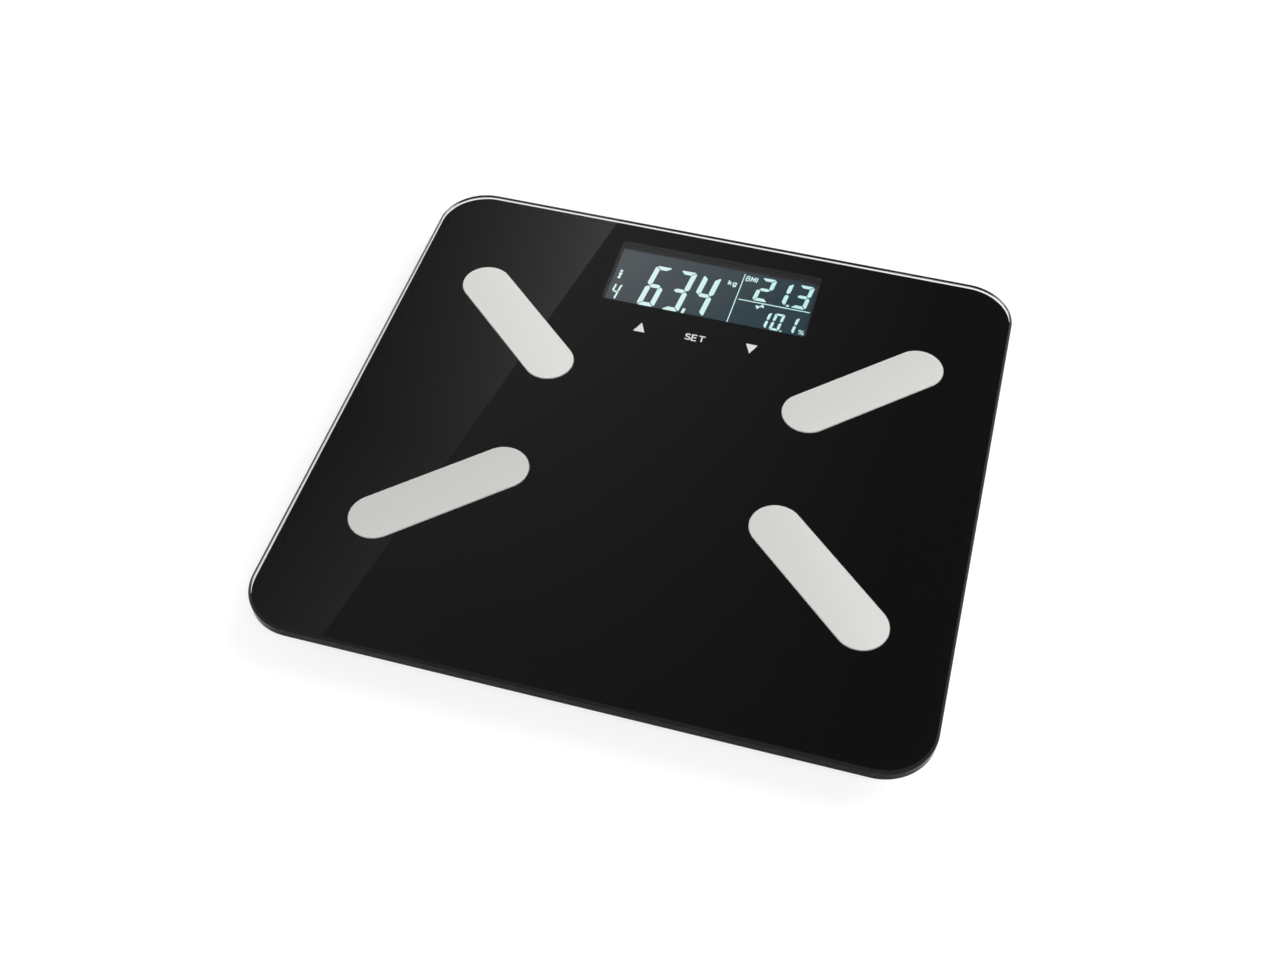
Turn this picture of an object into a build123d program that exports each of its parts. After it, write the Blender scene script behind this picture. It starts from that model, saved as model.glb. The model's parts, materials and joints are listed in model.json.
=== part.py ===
"""Digital bathroom scale: a glass platform with foot electrodes on four sprung feet.

Millimetres. +Z is up, +X is to the right and +Y points to the display. The origin is on
the floor, under the middle of the platform.
"""

from build123d import *
from math import atan, degrees, radians, tan
import os

# Glass platform
glass_width = 300.0
glass_depth = 287.0
glass_thickness = 6.0
glass_corner_radius = 24.0
glass_top_chamfer = 1.2
glass_bottom_chamfer = 0.5

# Black print film under the glass, with a window for the display
film_thickness = 0.2
film_inset = 1.0
window_side_margin = 0.85
window_end_margin = 1.95
window_corner_radius = 1.5
window_inset = 13.3

# Foot electrodes on the glass and the studs that carry their current through it
electrode_width = 24.6
electrode_span = 62.1
electrode_thickness = 0.4
electrode_edge_chamfer = 0.25
electrode_angle = 42.5
electrode_inset_x = 63.1
electrode_inset_y = 87.5
stud_diameter = 3.0
stud_clearance = 0.5
stud_drop = 2.0

# Base tray, a shallow tub whose walls slope in towards the floor
floor_gap = 4.0
tray_height = 14.0
tray_inset = 6.0
tray_draft = 6.0
tray_wall = 2.4
tray_floor = 2.0
rim_width = 5.0
rim_thickness = 2.0
rib_thickness = 1.6
rib_height = 3.0
rib_end_gap = 12.0
front_rib_offset = 14.0
middle_rib_length = 76.0
middle_rib_spacing = 40.0
middle_rib_y = -64.0
panel_width = 80.0
panel_height = 44.0
panel_depth = 0.3
panel_corner_radius = 3.0
panel_y = -62.0
groove_inset = 3.5
groove_width = 1.5
groove_depth = 0.5

# Bonding tape between the rim and the film
tape_thickness = 0.8
tape_width = 4.0
tape_edge_gap = 0.5

# Feet
foot_inset = 40.0
foot_diameter = 38.0
foot_clearance = 0.5
foot_travel = 0.5
foot_edge_round = 1.0
foot_ring_width = 2.4
foot_ring_height = 0.8
foot_flange = 3.0
foot_flange_thickness = 1.0
foot_flange_gap = 0.3
foot_boss_diameter = 9.0
foot_boss_height = 1.2
collar_clearance = 0.4
collar_wall = 1.8
collar_gap = 0.2
pad_diameter = 33.0
pad_thickness = 2.3
pad_sink = 0.8
pad_fit = 0.1
pad_groove_width = 1.6
pad_groove_depth = 0.6
pad_groove_radii = (7.0, 11.5)
pad_edge_round = 0.3

# Load cells, steel plates with a tongue that the foot bends
load_cell_size = 34.0
load_cell_thickness = 2.5
load_cell_corner_radius = 3.0
load_cell_fit = 0.2
tongue_width = 13.0
tongue_length = 22.0
tongue_slot_end = 2.0
tongue_slot_side = 4.5
gauge_length = 6.0
gauge_width = 8.0
gauge_thickness = 0.8
gauge_offset = 8.0

# Clamps that press the load cells against the glass
clamp_size = 49.0
clamp_corner_radius = 4.0
clamp_plate = 5.5
clamp_lift = 0.5
clamp_ring_diameter = 34.0
clamp_ring_wall = 4.0
clamp_flex_room = 0.7
clamp_flex_margin = 1.5
clamp_post_inset = 4.0
clamp_post_diameter = 7.0
lead_slot_clearance = 0.3

# Self-tapping screws of the clamps and of the board
clamp_screw_diameter = 2.2
board_screw_diameter = 1.8
screw_head_diameter = 4.6
screw_head_height = 1.6
screw_head_round = 0.5
screw_bite = 2.0
screw_pilot_extra = 0.4
screw_fit = 0.05
screw_hole_clearance = 0.3
screw_slot_width = 0.8
screw_slot_depth = 0.7

# Display stack under the window
gasket_width = 1.6
gasket_inset = 0.2
bezel_lip = 0.8
bezel_wall = 1.2
bezel_fit = 0.2
bezel_ear = 9.0
bezel_ear_thickness = 1.5
bezel_ear_rear = 17.0
bezel_ear_front = 20.0
view_width = 103.6
view_height = 39.6
lcd_margin_side = 2.2
lcd_margin_back = 1.3
lcd_ledge = 2.6
lcd_thickness = 2.8
lcd_drop = 3.0
backlight_thickness = 3.0
backlight_margin = 0.7
contact_strip_width = 1.8
contact_strip_inset = 0.2
contact_strip_end_gap = 6.0

# Main board
board_thickness = 1.6
board_back_reach = 21.4
board_front_reach = 46.5
board_side_margin = 2.0
board_corner_radius = 2.0
board_post_diameter = 6.0
board_rest_spacing = 60.0
board_rest_inset = 4.0
chip_size = 12.0
chip_height = 1.6
chip_chamfer = 0.2
chip_x = 14.0
component_row = 12.5
connector_width = 8.0
connector_depth = 5.0
connector_height = 4.5
connector_wire_height = 2.2
cell_connector_inset = 26.4
electrode_connector_inset = 14.4
electrode_pin_offset = 1.3
battery_pin_offset = 1.3
capacitor_diameter = 5.0
capacitor_height = 6.0
capacitor_round = 0.5
capacitor_spacing = 9.0
capacitor_inset = 20.4

# Touch posts under the three key marks
key_spacing = 27.9
key_row_offset = 36.9
touch_post_diameter = 8.0

# Unit button on the underside, and the switch that it presses
button_diameter = 8.0
button_clearance = 0.3
button_proud = 0.5
button_flange = 1.3
button_flange_thickness = 0.9
button_flange_gap = 0.1
button_edge_round = 0.4
button_travel = 0.5
button_x = 36.0
button_offset = 14.5
switch_size = 6.0
switch_gap = 0.1
plunger_diameter = 3.0
plunger_fit = 0.08
plunger_stop_gap = 0.05

# Battery bay with three cells side by side
battery_diameter = 10.5
battery_length = 43.5
battery_nub_diameter = 3.8
battery_nub_length = 1.0
battery_count = 3
battery_gap = 0.5
battery_height_gap = 0.2
battery_fit = 0.05
bay_setback = 47.95
bay_wall = 1.6
bay_roof = 1.2
contact_size = 8.0
contact_thickness = 0.5
contact_leaf_depth = 4.5
contact_tail_width = 3.0
contact_tail_length = 2.0
contact_tail_fit = 0.2

# Battery door, hinged along its front edge
door_thickness = 1.8
door_lap = 4.2
door_gap = 0.4
door_seat_gap = 0.1
door_frame = 3.0
door_frame_height = 3.0
door_corner_radius = 1.0
hinge_barrel_diameter = 3.2
hinge_pin_diameter = 1.5
hinge_pin_reach = 2.4
hinge_fit = 0.05
hinge_press = 0.02
hinge_groove_gap = 0.3
latch_width = 14.0
latch_length = 9.0
latch_slot = 1.0
grip_bar_height = 0.4
grip_bar_width = 1.0
grip_bar_length = 9.0
grip_bar_spacing = 2.4
grip_bar_count = 3
finger_scoop_radius = 9.0
finger_scoop_depth = 1.2

# Leads inside the tray
cell_lead_diameter = 1.8
electrode_lead_diameter = 1.2
battery_lead_diameter = 1.4
lead_gap = 0.1
lead_dip = 2.0
front_lead_exit = 7.0
side_lead_exit = 5.0
side_lead_slack = 4.0
clamp_lead_entry = 3.0
stud_lead_entry = 4.0
battery_lead_exit = 5.0
battery_lead_spread = 5.0
bend_share = 0.45
bend_limit = 25.0

# Points that the leads pass, chosen by hand in plan, as on the right side of the tray
front_cell_lead_points = ((44.0, 36.0), (46.0, -30.0), (54.0, -82.0), (70.0, -100.5))
front_electrode_lead_points = ((57.0, 28.0), (70.0, -28.0))
rear_electrode_lead_point = (63.0, 50.0)
stud_lead_point = (75.0, 53.0)

# Points of the battery leads: distance past a contact's tail, distance before the board
positive_lead_points = ((4.0, 18.0),)
negative_lead_points = ((7.0, 32.0), (3.0, 16.0))

# Heights, from the floor up
tray_bottom = floor_gap
tray_floor_top = tray_bottom + tray_floor
tray_top = tray_bottom + tray_height
film_bottom = tray_top + tape_thickness
glass_bottom = film_bottom + film_thickness
glass_top = glass_bottom + glass_thickness
cap_bottom = pad_thickness - pad_sink
flange_bottom = tray_floor_top + foot_flange_gap
flange_top = flange_bottom + foot_flange_thickness
load_cell_bottom = flange_top + foot_boss_height
load_cell_top = load_cell_bottom + load_cell_thickness
clamp_bottom = load_cell_bottom + clamp_lift
clamp_plate_top = clamp_bottom + clamp_plate
flex_room = gauge_thickness + foot_travel + clamp_flex_room
lcd_top = film_bottom - lcd_drop
lcd_bottom = lcd_top - lcd_thickness
board_top = lcd_bottom - backlight_thickness
board_bottom = board_top - board_thickness
bezel_top = lcd_top + bezel_lip
wire_height = board_top + connector_wire_height
button_top = tray_floor_top + button_flange_gap + button_flange_thickness
switch_bottom = button_top + button_travel + switch_gap
door_top = tray_bottom + door_thickness
door_seat = door_top + door_seat_gap
battery_z = door_seat + battery_height_gap + battery_diameter / 2
bay_ceiling = battery_z + battery_diameter / 2 + battery_height_gap
bay_top = bay_ceiling + bay_roof
hinge_z = tray_bottom + hinge_barrel_diameter / 2

# Places in plan
tray_width = glass_width - 2 * tray_inset
tray_depth = glass_depth - 2 * tray_inset
tray_corner_radius = glass_corner_radius - tray_inset
tray_slope = tray_draft / tray_height
tray_taper = degrees(atan(tray_slope))
electrode_x = glass_width / 2 - electrode_inset_x
electrode_y = glass_depth / 2 - electrode_inset_y
foot_x = glass_width / 2 - foot_inset
foot_y = glass_depth / 2 - foot_inset
foot_hole_radius = foot_diameter / 2 + foot_clearance
collar_radius = foot_diameter / 2 + foot_flange + collar_clearance
clamp_post_pitch = clamp_size - 2 * clamp_post_inset
window_width = view_width + 2 * window_side_margin
window_height = view_height + 2 * window_end_margin
display_y = glass_depth / 2 - window_inset - window_height / 2
key_y = display_y - key_row_offset
lcd_width = view_width + 2 * lcd_margin_side
lcd_back = display_y + view_height / 2 + lcd_margin_back
lcd_front = display_y - view_height / 2 - lcd_ledge
lcd_depth = lcd_back - lcd_front
lcd_y = (lcd_back + lcd_front) / 2
bezel_width = lcd_width + 2 * bezel_fit + 2 * bezel_wall
bezel_depth = lcd_depth + 2 * bezel_fit + 2 * bezel_wall
gasket_outer_width = window_width + 2 * (gasket_inset + gasket_width)
gasket_outer_height = window_height + 2 * (gasket_inset + gasket_width)
board_width = bezel_width + 2 * (bezel_ear + board_side_margin)
board_front = display_y - board_front_reach
board_back = display_y + board_back_reach
board_depth = board_back - board_front
board_y = (board_back + board_front) / 2
board_screw_x = bezel_width / 2 + bezel_ear / 2
board_screw_places = [
    (side * board_screw_x, display_y + reach)
    for side in (-1, 1)
    for reach in (-bezel_ear_front, bezel_ear_rear)
]
cell_connector_x = board_width / 2 - cell_connector_inset
electrode_connector_x = board_width / 2 - electrode_connector_inset
capacitor_x = capacitor_inset - board_width / 2
button_y = display_y - button_offset
bay_y = board_front - bay_setback
battery_pitch = battery_diameter + battery_gap
battery_reach = battery_length + battery_nub_length
bay_length = battery_reach + 2 * contact_thickness + contact_leaf_depth + 2 * battery_fit
bay_width = battery_count * battery_pitch + battery_gap
door_length = bay_length + 2 * door_lap
door_width = bay_width + 2 * door_lap
door_front = bay_y - door_width / 2
door_back = bay_y + door_width / 2
hinge_y = door_front + hinge_barrel_diameter / 2
battery_rows = [
    bay_y + ((battery_count - 1) / 2 - index) * battery_pitch for index in range(battery_count)
]
nub_sides = [1 - 2 * (index % 2) for index in range(battery_count)]
contact_tails = ((nub_sides[0], battery_rows[0]), (-nub_sides[-1], battery_rows[-1]))
corners = {
    "front_left": (-1, -1),
    "front_right": (1, -1),
    "rear_left": (-1, 1),
    "rear_right": (1, 1),
}
foot_places = [(side * foot_x, end * foot_y) for side, end in corners.values()]
electrode_places = [(side * electrode_x, end * electrode_y) for side, end in corners.values()]

os.makedirs("parts", exist_ok=True)


def write_piece(piece: BuildPart, name: str) -> None:
    """Label a finished piece and write its STEP file."""
    piece.part.label = name
    export_step(piece.part, f"parts/{name}.step")


# Glass platform, drilled for the electrode studs
with BuildPart() as glass_platform:
    with BuildSketch(Plane.XY.offset(glass_bottom)):
        RectangleRounded(glass_width, glass_depth, glass_corner_radius)
        with Locations(*electrode_places):
            Circle(stud_diameter / 2 + stud_clearance, mode=Mode.SUBTRACT)
    extrude(amount=glass_thickness)
    chamfer(glass_platform.faces().sort_by(Axis.Z)[-1].outer_wire().edges(), glass_top_chamfer)
    chamfer(glass_platform.faces().sort_by(Axis.Z)[0].outer_wire().edges(), glass_bottom_chamfer)
write_piece(glass_platform, "glass_platform")

# Print film, black all over but for the window
with BuildPart() as print_film:
    with BuildSketch(Plane.XY.offset(film_bottom)):
        RectangleRounded(
            glass_width - 2 * film_inset,
            glass_depth - 2 * film_inset,
            glass_corner_radius - film_inset,
        )
        with Locations((0, display_y)):
            RectangleRounded(window_width, window_height, window_corner_radius, mode=Mode.SUBTRACT)
        with Locations(*electrode_places):
            Circle(stud_diameter / 2 + stud_clearance, mode=Mode.SUBTRACT)
    extrude(amount=film_thickness)
write_piece(print_film, "print_film")

# Foot electrodes, in an X pattern
for corner, (side, end) in corners.items():
    with BuildPart() as electrode:
        with BuildSketch(Plane.XY.offset(glass_top)):
            with Locations((side * electrode_x, end * electrode_y)):
                SlotCenterToCenter(
                    electrode_span, electrode_width, rotation=side * end * electrode_angle
                )
        extrude(amount=electrode_thickness)
        chamfer(electrode.edges().group_by(Axis.Z)[-1], electrode_edge_chamfer)
    write_piece(electrode, f"electrode_{corner}")

# Electrode studs, from the electrodes down through the glass and the film
with BuildPart() as electrode_studs:
    with BuildSketch(Plane.XY.offset(glass_top)):
        with Locations(*electrode_places):
            Circle(stud_diameter / 2)
    extrude(amount=-(glass_top - film_bottom + stud_drop))
write_piece(electrode_studs, "electrode_studs")

# Bonding tape on the rim of the tray
with BuildPart() as bonding_tape:
    with BuildSketch(Plane.XY.offset(tray_top)):
        RectangleRounded(
            tray_width - 2 * tape_edge_gap,
            tray_depth - 2 * tape_edge_gap,
            tray_corner_radius - tape_edge_gap,
        )
        offset(amount=-tape_width, mode=Mode.SUBTRACT)
    extrude(amount=tape_thickness)
write_piece(bonding_tape, "bonding_tape")

# Base tray
with BuildPart() as base_tray:
    # Tub with sloping walls
    with BuildSketch(Plane.XY.offset(tray_bottom)):
        RectangleRounded(
            tray_width - 2 * tray_draft,
            tray_depth - 2 * tray_draft,
            tray_corner_radius - tray_draft,
        )
    extrude(amount=tray_height, taper=-tray_taper)
    hollow_inset = tray_wall + tray_slope * (tray_height - tray_floor)
    with BuildSketch(Plane.XY.offset(tray_floor_top)):
        RectangleRounded(
            tray_width - 2 * hollow_inset,
            tray_depth - 2 * hollow_inset,
            tray_corner_radius - hollow_inset,
        )
    extrude(amount=tray_height - tray_floor, taper=-tray_taper, mode=Mode.SUBTRACT)
    # Rim that the tape sits on
    rim_root = tray_slope * rim_thickness + tray_wall / 4
    with BuildSketch(Plane.XY.offset(tray_top)):
        RectangleRounded(
            tray_width - 2 * rim_root,
            tray_depth - 2 * rim_root,
            tray_corner_radius - rim_root,
        )
        offset(amount=-(rim_width - rim_root), mode=Mode.SUBTRACT)
    extrude(amount=-rim_thickness)
    # Collars and clamp posts round the feet
    with BuildSketch(Plane.XY.offset(tray_floor_top)):
        with Locations(*foot_places):
            Circle(collar_radius + collar_wall)
    extrude(amount=load_cell_bottom - collar_gap - tray_floor_top)
    with BuildSketch(Plane.XY.offset(tray_floor_top)):
        with Locations(*foot_places):
            Circle(collar_radius)
    extrude(amount=tray_height, mode=Mode.SUBTRACT)
    with BuildSketch(Plane.XY.offset(tray_floor_top)):
        with Locations(*foot_places):
            with GridLocations(clamp_post_pitch, clamp_post_pitch, 2, 2):
                Circle(clamp_post_diameter / 2)
    extrude(amount=clamp_bottom - tray_floor_top)
    with BuildSketch(Plane.XY.offset(clamp_bottom)):
        with Locations(*foot_places):
            with GridLocations(clamp_post_pitch, clamp_post_pitch, 2, 2):
                Circle(clamp_screw_diameter / 2 + screw_fit)
    extrude(amount=-(screw_bite + screw_pilot_extra), mode=Mode.SUBTRACT)
    # Rings under the floor round the holes that the feet stand in
    with BuildSketch(Plane.XY.offset(tray_bottom)):
        with Locations(*foot_places):
            Circle(foot_hole_radius + foot_ring_width)
    extrude(amount=-foot_ring_height)
    with BuildSketch(Plane.XY.offset(tray_bottom - foot_ring_height)):
        with Locations(*foot_places):
            Circle(foot_hole_radius)
    extrude(amount=foot_ring_height + tray_floor, mode=Mode.SUBTRACT)
    # Posts for the board, with pilot holes under its screws
    with BuildSketch(Plane.XY.offset(tray_floor_top)):
        with Locations(*board_screw_places):
            Circle(board_post_diameter / 2)
        with Locations((0, board_front + board_rest_inset)):
            with GridLocations(board_rest_spacing, 0, 2, 1):
                Circle(board_post_diameter / 2)
    extrude(amount=board_bottom - tray_floor_top)
    with BuildSketch(Plane.XY.offset(board_bottom)):
        with Locations(*board_screw_places):
            Circle(board_screw_diameter / 2 + screw_fit)
    extrude(amount=-(screw_bite + screw_pilot_extra), mode=Mode.SUBTRACT)
    # Hole for the unit button
    with BuildSketch(Plane.XY.offset(tray_bottom)):
        with Locations((button_x, button_y)):
            Circle(button_diameter / 2 + button_clearance)
    extrude(amount=tray_floor, mode=Mode.SUBTRACT)
    # Battery bay, with a thick frame round its mouth
    with BuildSketch(Plane.XY.offset(tray_floor_top)):
        with Locations((0, bay_y)):
            Rectangle(door_length + 2 * door_frame, door_width + 2 * door_frame)
    extrude(amount=door_frame_height)
    with BuildSketch(Plane.XY.offset(tray_floor_top)):
        with Locations((0, bay_y)):
            Rectangle(bay_length + 2 * bay_wall, bay_width + 2 * bay_wall)
    extrude(amount=bay_top - tray_floor_top)
    with BuildSketch(Plane.XY.offset(tray_bottom)):
        with Locations((0, bay_y)):
            Rectangle(bay_length, bay_width)
    extrude(amount=bay_ceiling - tray_bottom, mode=Mode.SUBTRACT)
    with BuildSketch(Plane.XY.offset(tray_bottom)):
        with Locations((0, bay_y)):
            Rectangle(door_length + 2 * door_gap, door_width + 2 * door_gap)
    extrude(amount=door_seat - tray_bottom, mode=Mode.SUBTRACT)
    # Groove for the hinge barrel and bores for its pin
    hinge_groove_width = hinge_barrel_diameter + hinge_groove_gap + door_gap
    with BuildSketch(Plane.XY.offset(tray_bottom)):
        with Locations((0, door_front - door_gap + hinge_groove_width / 2)):
            Rectangle(door_length + 2 * door_gap, hinge_groove_width)
    extrude(amount=hinge_barrel_diameter + hinge_groove_gap, mode=Mode.SUBTRACT)
    with BuildSketch(Plane.YZ):
        with Locations((hinge_y, hinge_z)):
            Circle(hinge_pin_diameter / 2 + hinge_press)
    extrude(amount=door_length / 2 + hinge_pin_reach, both=True, mode=Mode.SUBTRACT)
    # Slots where the two outer contacts come out of the bay
    tail_slot_height = contact_thickness + 2 * contact_tail_fit
    with BuildSketch(Plane.XY.offset(battery_z - tail_slot_height / 2)):
        for side, row in contact_tails:
            with Locations((side * (bay_length + bay_wall) / 2, row)):
                Rectangle(bay_wall, contact_tail_width + 2 * contact_tail_fit)
    extrude(amount=tail_slot_height, mode=Mode.SUBTRACT)
    # Scoop for a finger at the free edge of the door
    with BuildSketch(Plane.XY.offset(tray_bottom)):
        with Locations((0, door_back + door_gap)):
            Circle(finger_scoop_radius)
            Rectangle(
                2 * finger_scoop_radius,
                2 * finger_scoop_radius,
                align=(Align.CENTER, Align.MAX),
                mode=Mode.SUBTRACT,
            )
    extrude(amount=finger_scoop_depth, mode=Mode.SUBTRACT)
    # Stiffening ribs on the floor, clear of the leads
    with BuildSketch(Plane.XY.offset(tray_floor_top)):
        with GridLocations(2 * foot_x, 0, 2, 1):
            Rectangle(rib_thickness, 2 * foot_y - clamp_size - 2 * rib_end_gap)
        with Locations((0, -foot_y - front_rib_offset)):
            Rectangle(2 * foot_x - clamp_size - 2 * rib_end_gap, rib_thickness)
        with Locations((0, middle_rib_y)):
            with GridLocations(middle_rib_spacing, 0, 2, 1):
                Rectangle(rib_thickness, middle_rib_length)
    extrude(amount=rib_height)
    # Groove along the edge of the underside
    groove_start = tray_draft + groove_inset
    with BuildSketch(Plane.XY.offset(tray_bottom)):
        RectangleRounded(
            tray_width - 2 * groove_start,
            tray_depth - 2 * groove_start,
            tray_corner_radius - groove_start,
        )
        offset(amount=-groove_width, mode=Mode.SUBTRACT)
    extrude(amount=groove_depth, mode=Mode.SUBTRACT)
    # Shallow bare panel in the underside
    with BuildSketch(Plane.XY.offset(tray_bottom)):
        with Locations((0, panel_y)):
            RectangleRounded(panel_width, panel_height, panel_corner_radius)
    extrude(amount=panel_depth, mode=Mode.SUBTRACT)
write_piece(base_tray, "base_tray")

# Feet, load cells and clamps at the four corners
for corner, (side, end) in corners.items():
    place = (side * foot_x, end * foot_y)

    # Foot cap, with a flange that keeps it in the tray and a boss under the load cell
    with BuildPart() as foot_cap:
        with BuildSketch(Plane.XY.offset(cap_bottom)):
            with Locations(place):
                Circle(foot_diameter / 2)
        extrude(amount=flange_top - cap_bottom)
        fillet(foot_cap.edges().group_by(Axis.Z)[0], foot_edge_round)
        with BuildSketch(Plane.XY.offset(flange_bottom)):
            with Locations(place):
                Circle(foot_diameter / 2 + foot_flange)
        extrude(amount=foot_flange_thickness)
        with BuildSketch(Plane.XY.offset(flange_top)):
            with Locations(place):
                Circle(foot_boss_diameter / 2)
        extrude(amount=foot_boss_height)
        with BuildSketch(Plane.XY.offset(cap_bottom)):
            with Locations(place):
                Circle(pad_diameter / 2 + pad_fit)
        extrude(amount=pad_sink, mode=Mode.SUBTRACT)
    write_piece(foot_cap, f"foot_cap_{corner}")

    # Rubber pad with ring grooves
    with BuildPart() as foot_pad:
        with BuildSketch(Plane.XY):
            with Locations(place):
                Circle(pad_diameter / 2)
        extrude(amount=pad_thickness)
        for groove_radius in pad_groove_radii:
            with BuildSketch(Plane.XY):
                with Locations(place):
                    Circle(groove_radius + pad_groove_width / 2)
                    Circle(groove_radius - pad_groove_width / 2, mode=Mode.SUBTRACT)
            extrude(amount=pad_groove_depth, mode=Mode.SUBTRACT)
        fillet(foot_pad.faces().sort_by(Axis.Z)[-1].edges(), pad_edge_round)
    write_piece(foot_pad, f"foot_pad_{corner}")

    # Load cell, a square plate whose tongue is free but for its inner end
    tongue_room = tongue_length + tongue_slot_end
    with BuildPart() as load_cell:
        with BuildSketch(Plane.XY.offset(load_cell_bottom)):
            with Locations(place):
                RectangleRounded(load_cell_size, load_cell_size, load_cell_corner_radius)
        extrude(amount=load_cell_thickness)
        with BuildSketch(Plane.XY.offset(load_cell_bottom)):
            with Locations(place):
                Rectangle(tongue_room, tongue_width + 2 * tongue_slot_side)
                with Locations((-side * tongue_slot_end / 2, 0)):
                    Rectangle(tongue_length, tongue_width, mode=Mode.SUBTRACT)
        extrude(amount=load_cell_thickness, mode=Mode.SUBTRACT)
    write_piece(load_cell, f"load_cell_{corner}")

    # Clamp, with a seat for the load cell and a ring that bears on the film
    with BuildPart() as clamp:
        with BuildSketch(Plane.XY.offset(clamp_bottom)):
            with Locations(place):
                RectangleRounded(clamp_size, clamp_size, clamp_corner_radius)
        extrude(amount=clamp_plate)
        with BuildSketch(Plane.XY.offset(clamp_plate_top)):
            with Locations(place):
                Circle(clamp_ring_diameter / 2)
                Circle(clamp_ring_diameter / 2 - clamp_ring_wall, mode=Mode.SUBTRACT)
        extrude(amount=film_bottom - clamp_plate_top)
        with BuildSketch(Plane.XY.offset(clamp_bottom)):
            with Locations(place):
                Rectangle(load_cell_size + 2 * load_cell_fit, load_cell_size + 2 * load_cell_fit)
        extrude(amount=load_cell_top - clamp_bottom, mode=Mode.SUBTRACT)
        with BuildSketch(Plane.XY.offset(load_cell_top)):
            with Locations(place):
                Rectangle(
                    tongue_room + 2 * clamp_flex_margin,
                    tongue_width + 2 * tongue_slot_side + 2 * clamp_flex_margin,
                )
        extrude(amount=flex_room, mode=Mode.SUBTRACT)
        # Slot for the lead, open at the bottom, from the flexing tongue to the inner side
        with BuildSketch(Plane.XY.offset(clamp_bottom)):
            with Locations((place[0] - side * clamp_size / 4, place[1])):
                Rectangle(clamp_size / 2, cell_lead_diameter + 2 * lead_slot_clearance)
        extrude(amount=load_cell_top + flex_room - clamp_bottom, mode=Mode.SUBTRACT)
        with BuildSketch(Plane.XY.offset(clamp_bottom)):
            with Locations(place):
                with GridLocations(clamp_post_pitch, clamp_post_pitch, 2, 2):
                    Circle(clamp_screw_diameter / 2 + screw_hole_clearance)
        extrude(amount=clamp_plate, mode=Mode.SUBTRACT)
    write_piece(clamp, f"load_cell_clamp_{corner}")

# Strain gauges on the necks of the tongues
with BuildPart() as strain_gauges:
    with BuildSketch(Plane.XY.offset(load_cell_top)):
        for side, end in corners.values():
            with Locations((side * (foot_x - gauge_offset), end * foot_y)):
                Rectangle(gauge_length, gauge_width)
    extrude(amount=gauge_thickness)
write_piece(strain_gauges, "strain_gauges")


def make_screws(places: list, seat: float, tip: float, diameter: float) -> BuildPart:
    """Make slotted screws that stand upright at the given places, head on the seat."""
    with BuildPart() as screws:
        with BuildSketch(Plane.XY.offset(tip)):
            with Locations(*places):
                Circle(diameter / 2)
        extrude(amount=seat - tip)
        with BuildSketch(Plane.XY.offset(seat)):
            with Locations(*places):
                Circle(screw_head_diameter / 2)
        extrude(amount=screw_head_height)
        fillet(screws.edges().group_by(Axis.Z)[-1], screw_head_round)
        with BuildSketch(Plane.XY.offset(seat + screw_head_height)):
            with Locations(*places):
                Rectangle(screw_head_diameter, screw_slot_width)
        extrude(amount=-screw_slot_depth, mode=Mode.SUBTRACT)
    return screws


# Screws of the clamps
half_pitch = clamp_post_pitch / 2
clamp_screw_places = [
    (x + dx, y + dy)
    for x, y in foot_places
    for dx in (-half_pitch, half_pitch)
    for dy in (-half_pitch, half_pitch)
]
clamp_screws = make_screws(
    clamp_screw_places, clamp_plate_top, clamp_bottom - screw_bite, clamp_screw_diameter
)
write_piece(clamp_screws, "clamp_screws")

# Main board
with BuildPart() as main_board:
    with BuildSketch(Plane.XY.offset(board_bottom)):
        with Locations((0, board_y)):
            RectangleRounded(board_width, board_depth, board_corner_radius)
        with Locations(*board_screw_places):
            Circle(board_screw_diameter / 2 + screw_hole_clearance, mode=Mode.SUBTRACT)
    extrude(amount=board_thickness)
write_piece(main_board, "main_board")

# Display bezel, a frame with a lip over the panel and four ears under the board screws
with BuildPart() as display_bezel:
    with BuildSketch(Plane.XY.offset(board_top)):
        with Locations(*board_screw_places):
            Rectangle(bezel_ear + 2 * bezel_wall, bezel_ear)
    extrude(amount=bezel_ear_thickness)
    with BuildSketch(Plane.XY.offset(board_top)):
        with Locations((0, lcd_y)):
            Rectangle(bezel_width, bezel_depth)
    extrude(amount=lcd_top - board_top)
    with BuildSketch(Plane.XY.offset(lcd_top)):
        with Locations((0, lcd_y)):
            Rectangle(bezel_width, bezel_depth)
        with Locations((0, display_y)):
            Rectangle(gasket_outer_width, gasket_outer_height)
    extrude(amount=bezel_lip)
    with BuildSketch(Plane.XY.offset(board_top)):
        with Locations((0, lcd_y)):
            Rectangle(lcd_width + 2 * bezel_fit, lcd_depth + 2 * bezel_fit)
    extrude(amount=lcd_top - board_top, mode=Mode.SUBTRACT)
    with BuildSketch(Plane.XY.offset(lcd_top)):
        with Locations((0, display_y)):
            Rectangle(view_width, view_height)
    extrude(amount=bezel_lip, mode=Mode.SUBTRACT)
    with BuildSketch(Plane.XY.offset(board_top)):
        with Locations(*board_screw_places):
            Circle(board_screw_diameter / 2 + screw_hole_clearance)
    extrude(amount=bezel_ear_thickness, mode=Mode.SUBTRACT)
write_piece(display_bezel, "display_bezel")

# Screws through the ears and the board
board_screws = make_screws(
    board_screw_places,
    board_top + bezel_ear_thickness,
    board_bottom - screw_bite,
    board_screw_diameter,
)
write_piece(board_screws, "board_screws")

# Segment panel
with BuildPart() as lcd_panel:
    with BuildSketch(Plane.XY.offset(lcd_bottom)):
        with Locations((0, lcd_y)):
            Rectangle(lcd_width, lcd_depth)
    extrude(amount=lcd_thickness)
write_piece(lcd_panel, "lcd_panel")

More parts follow.
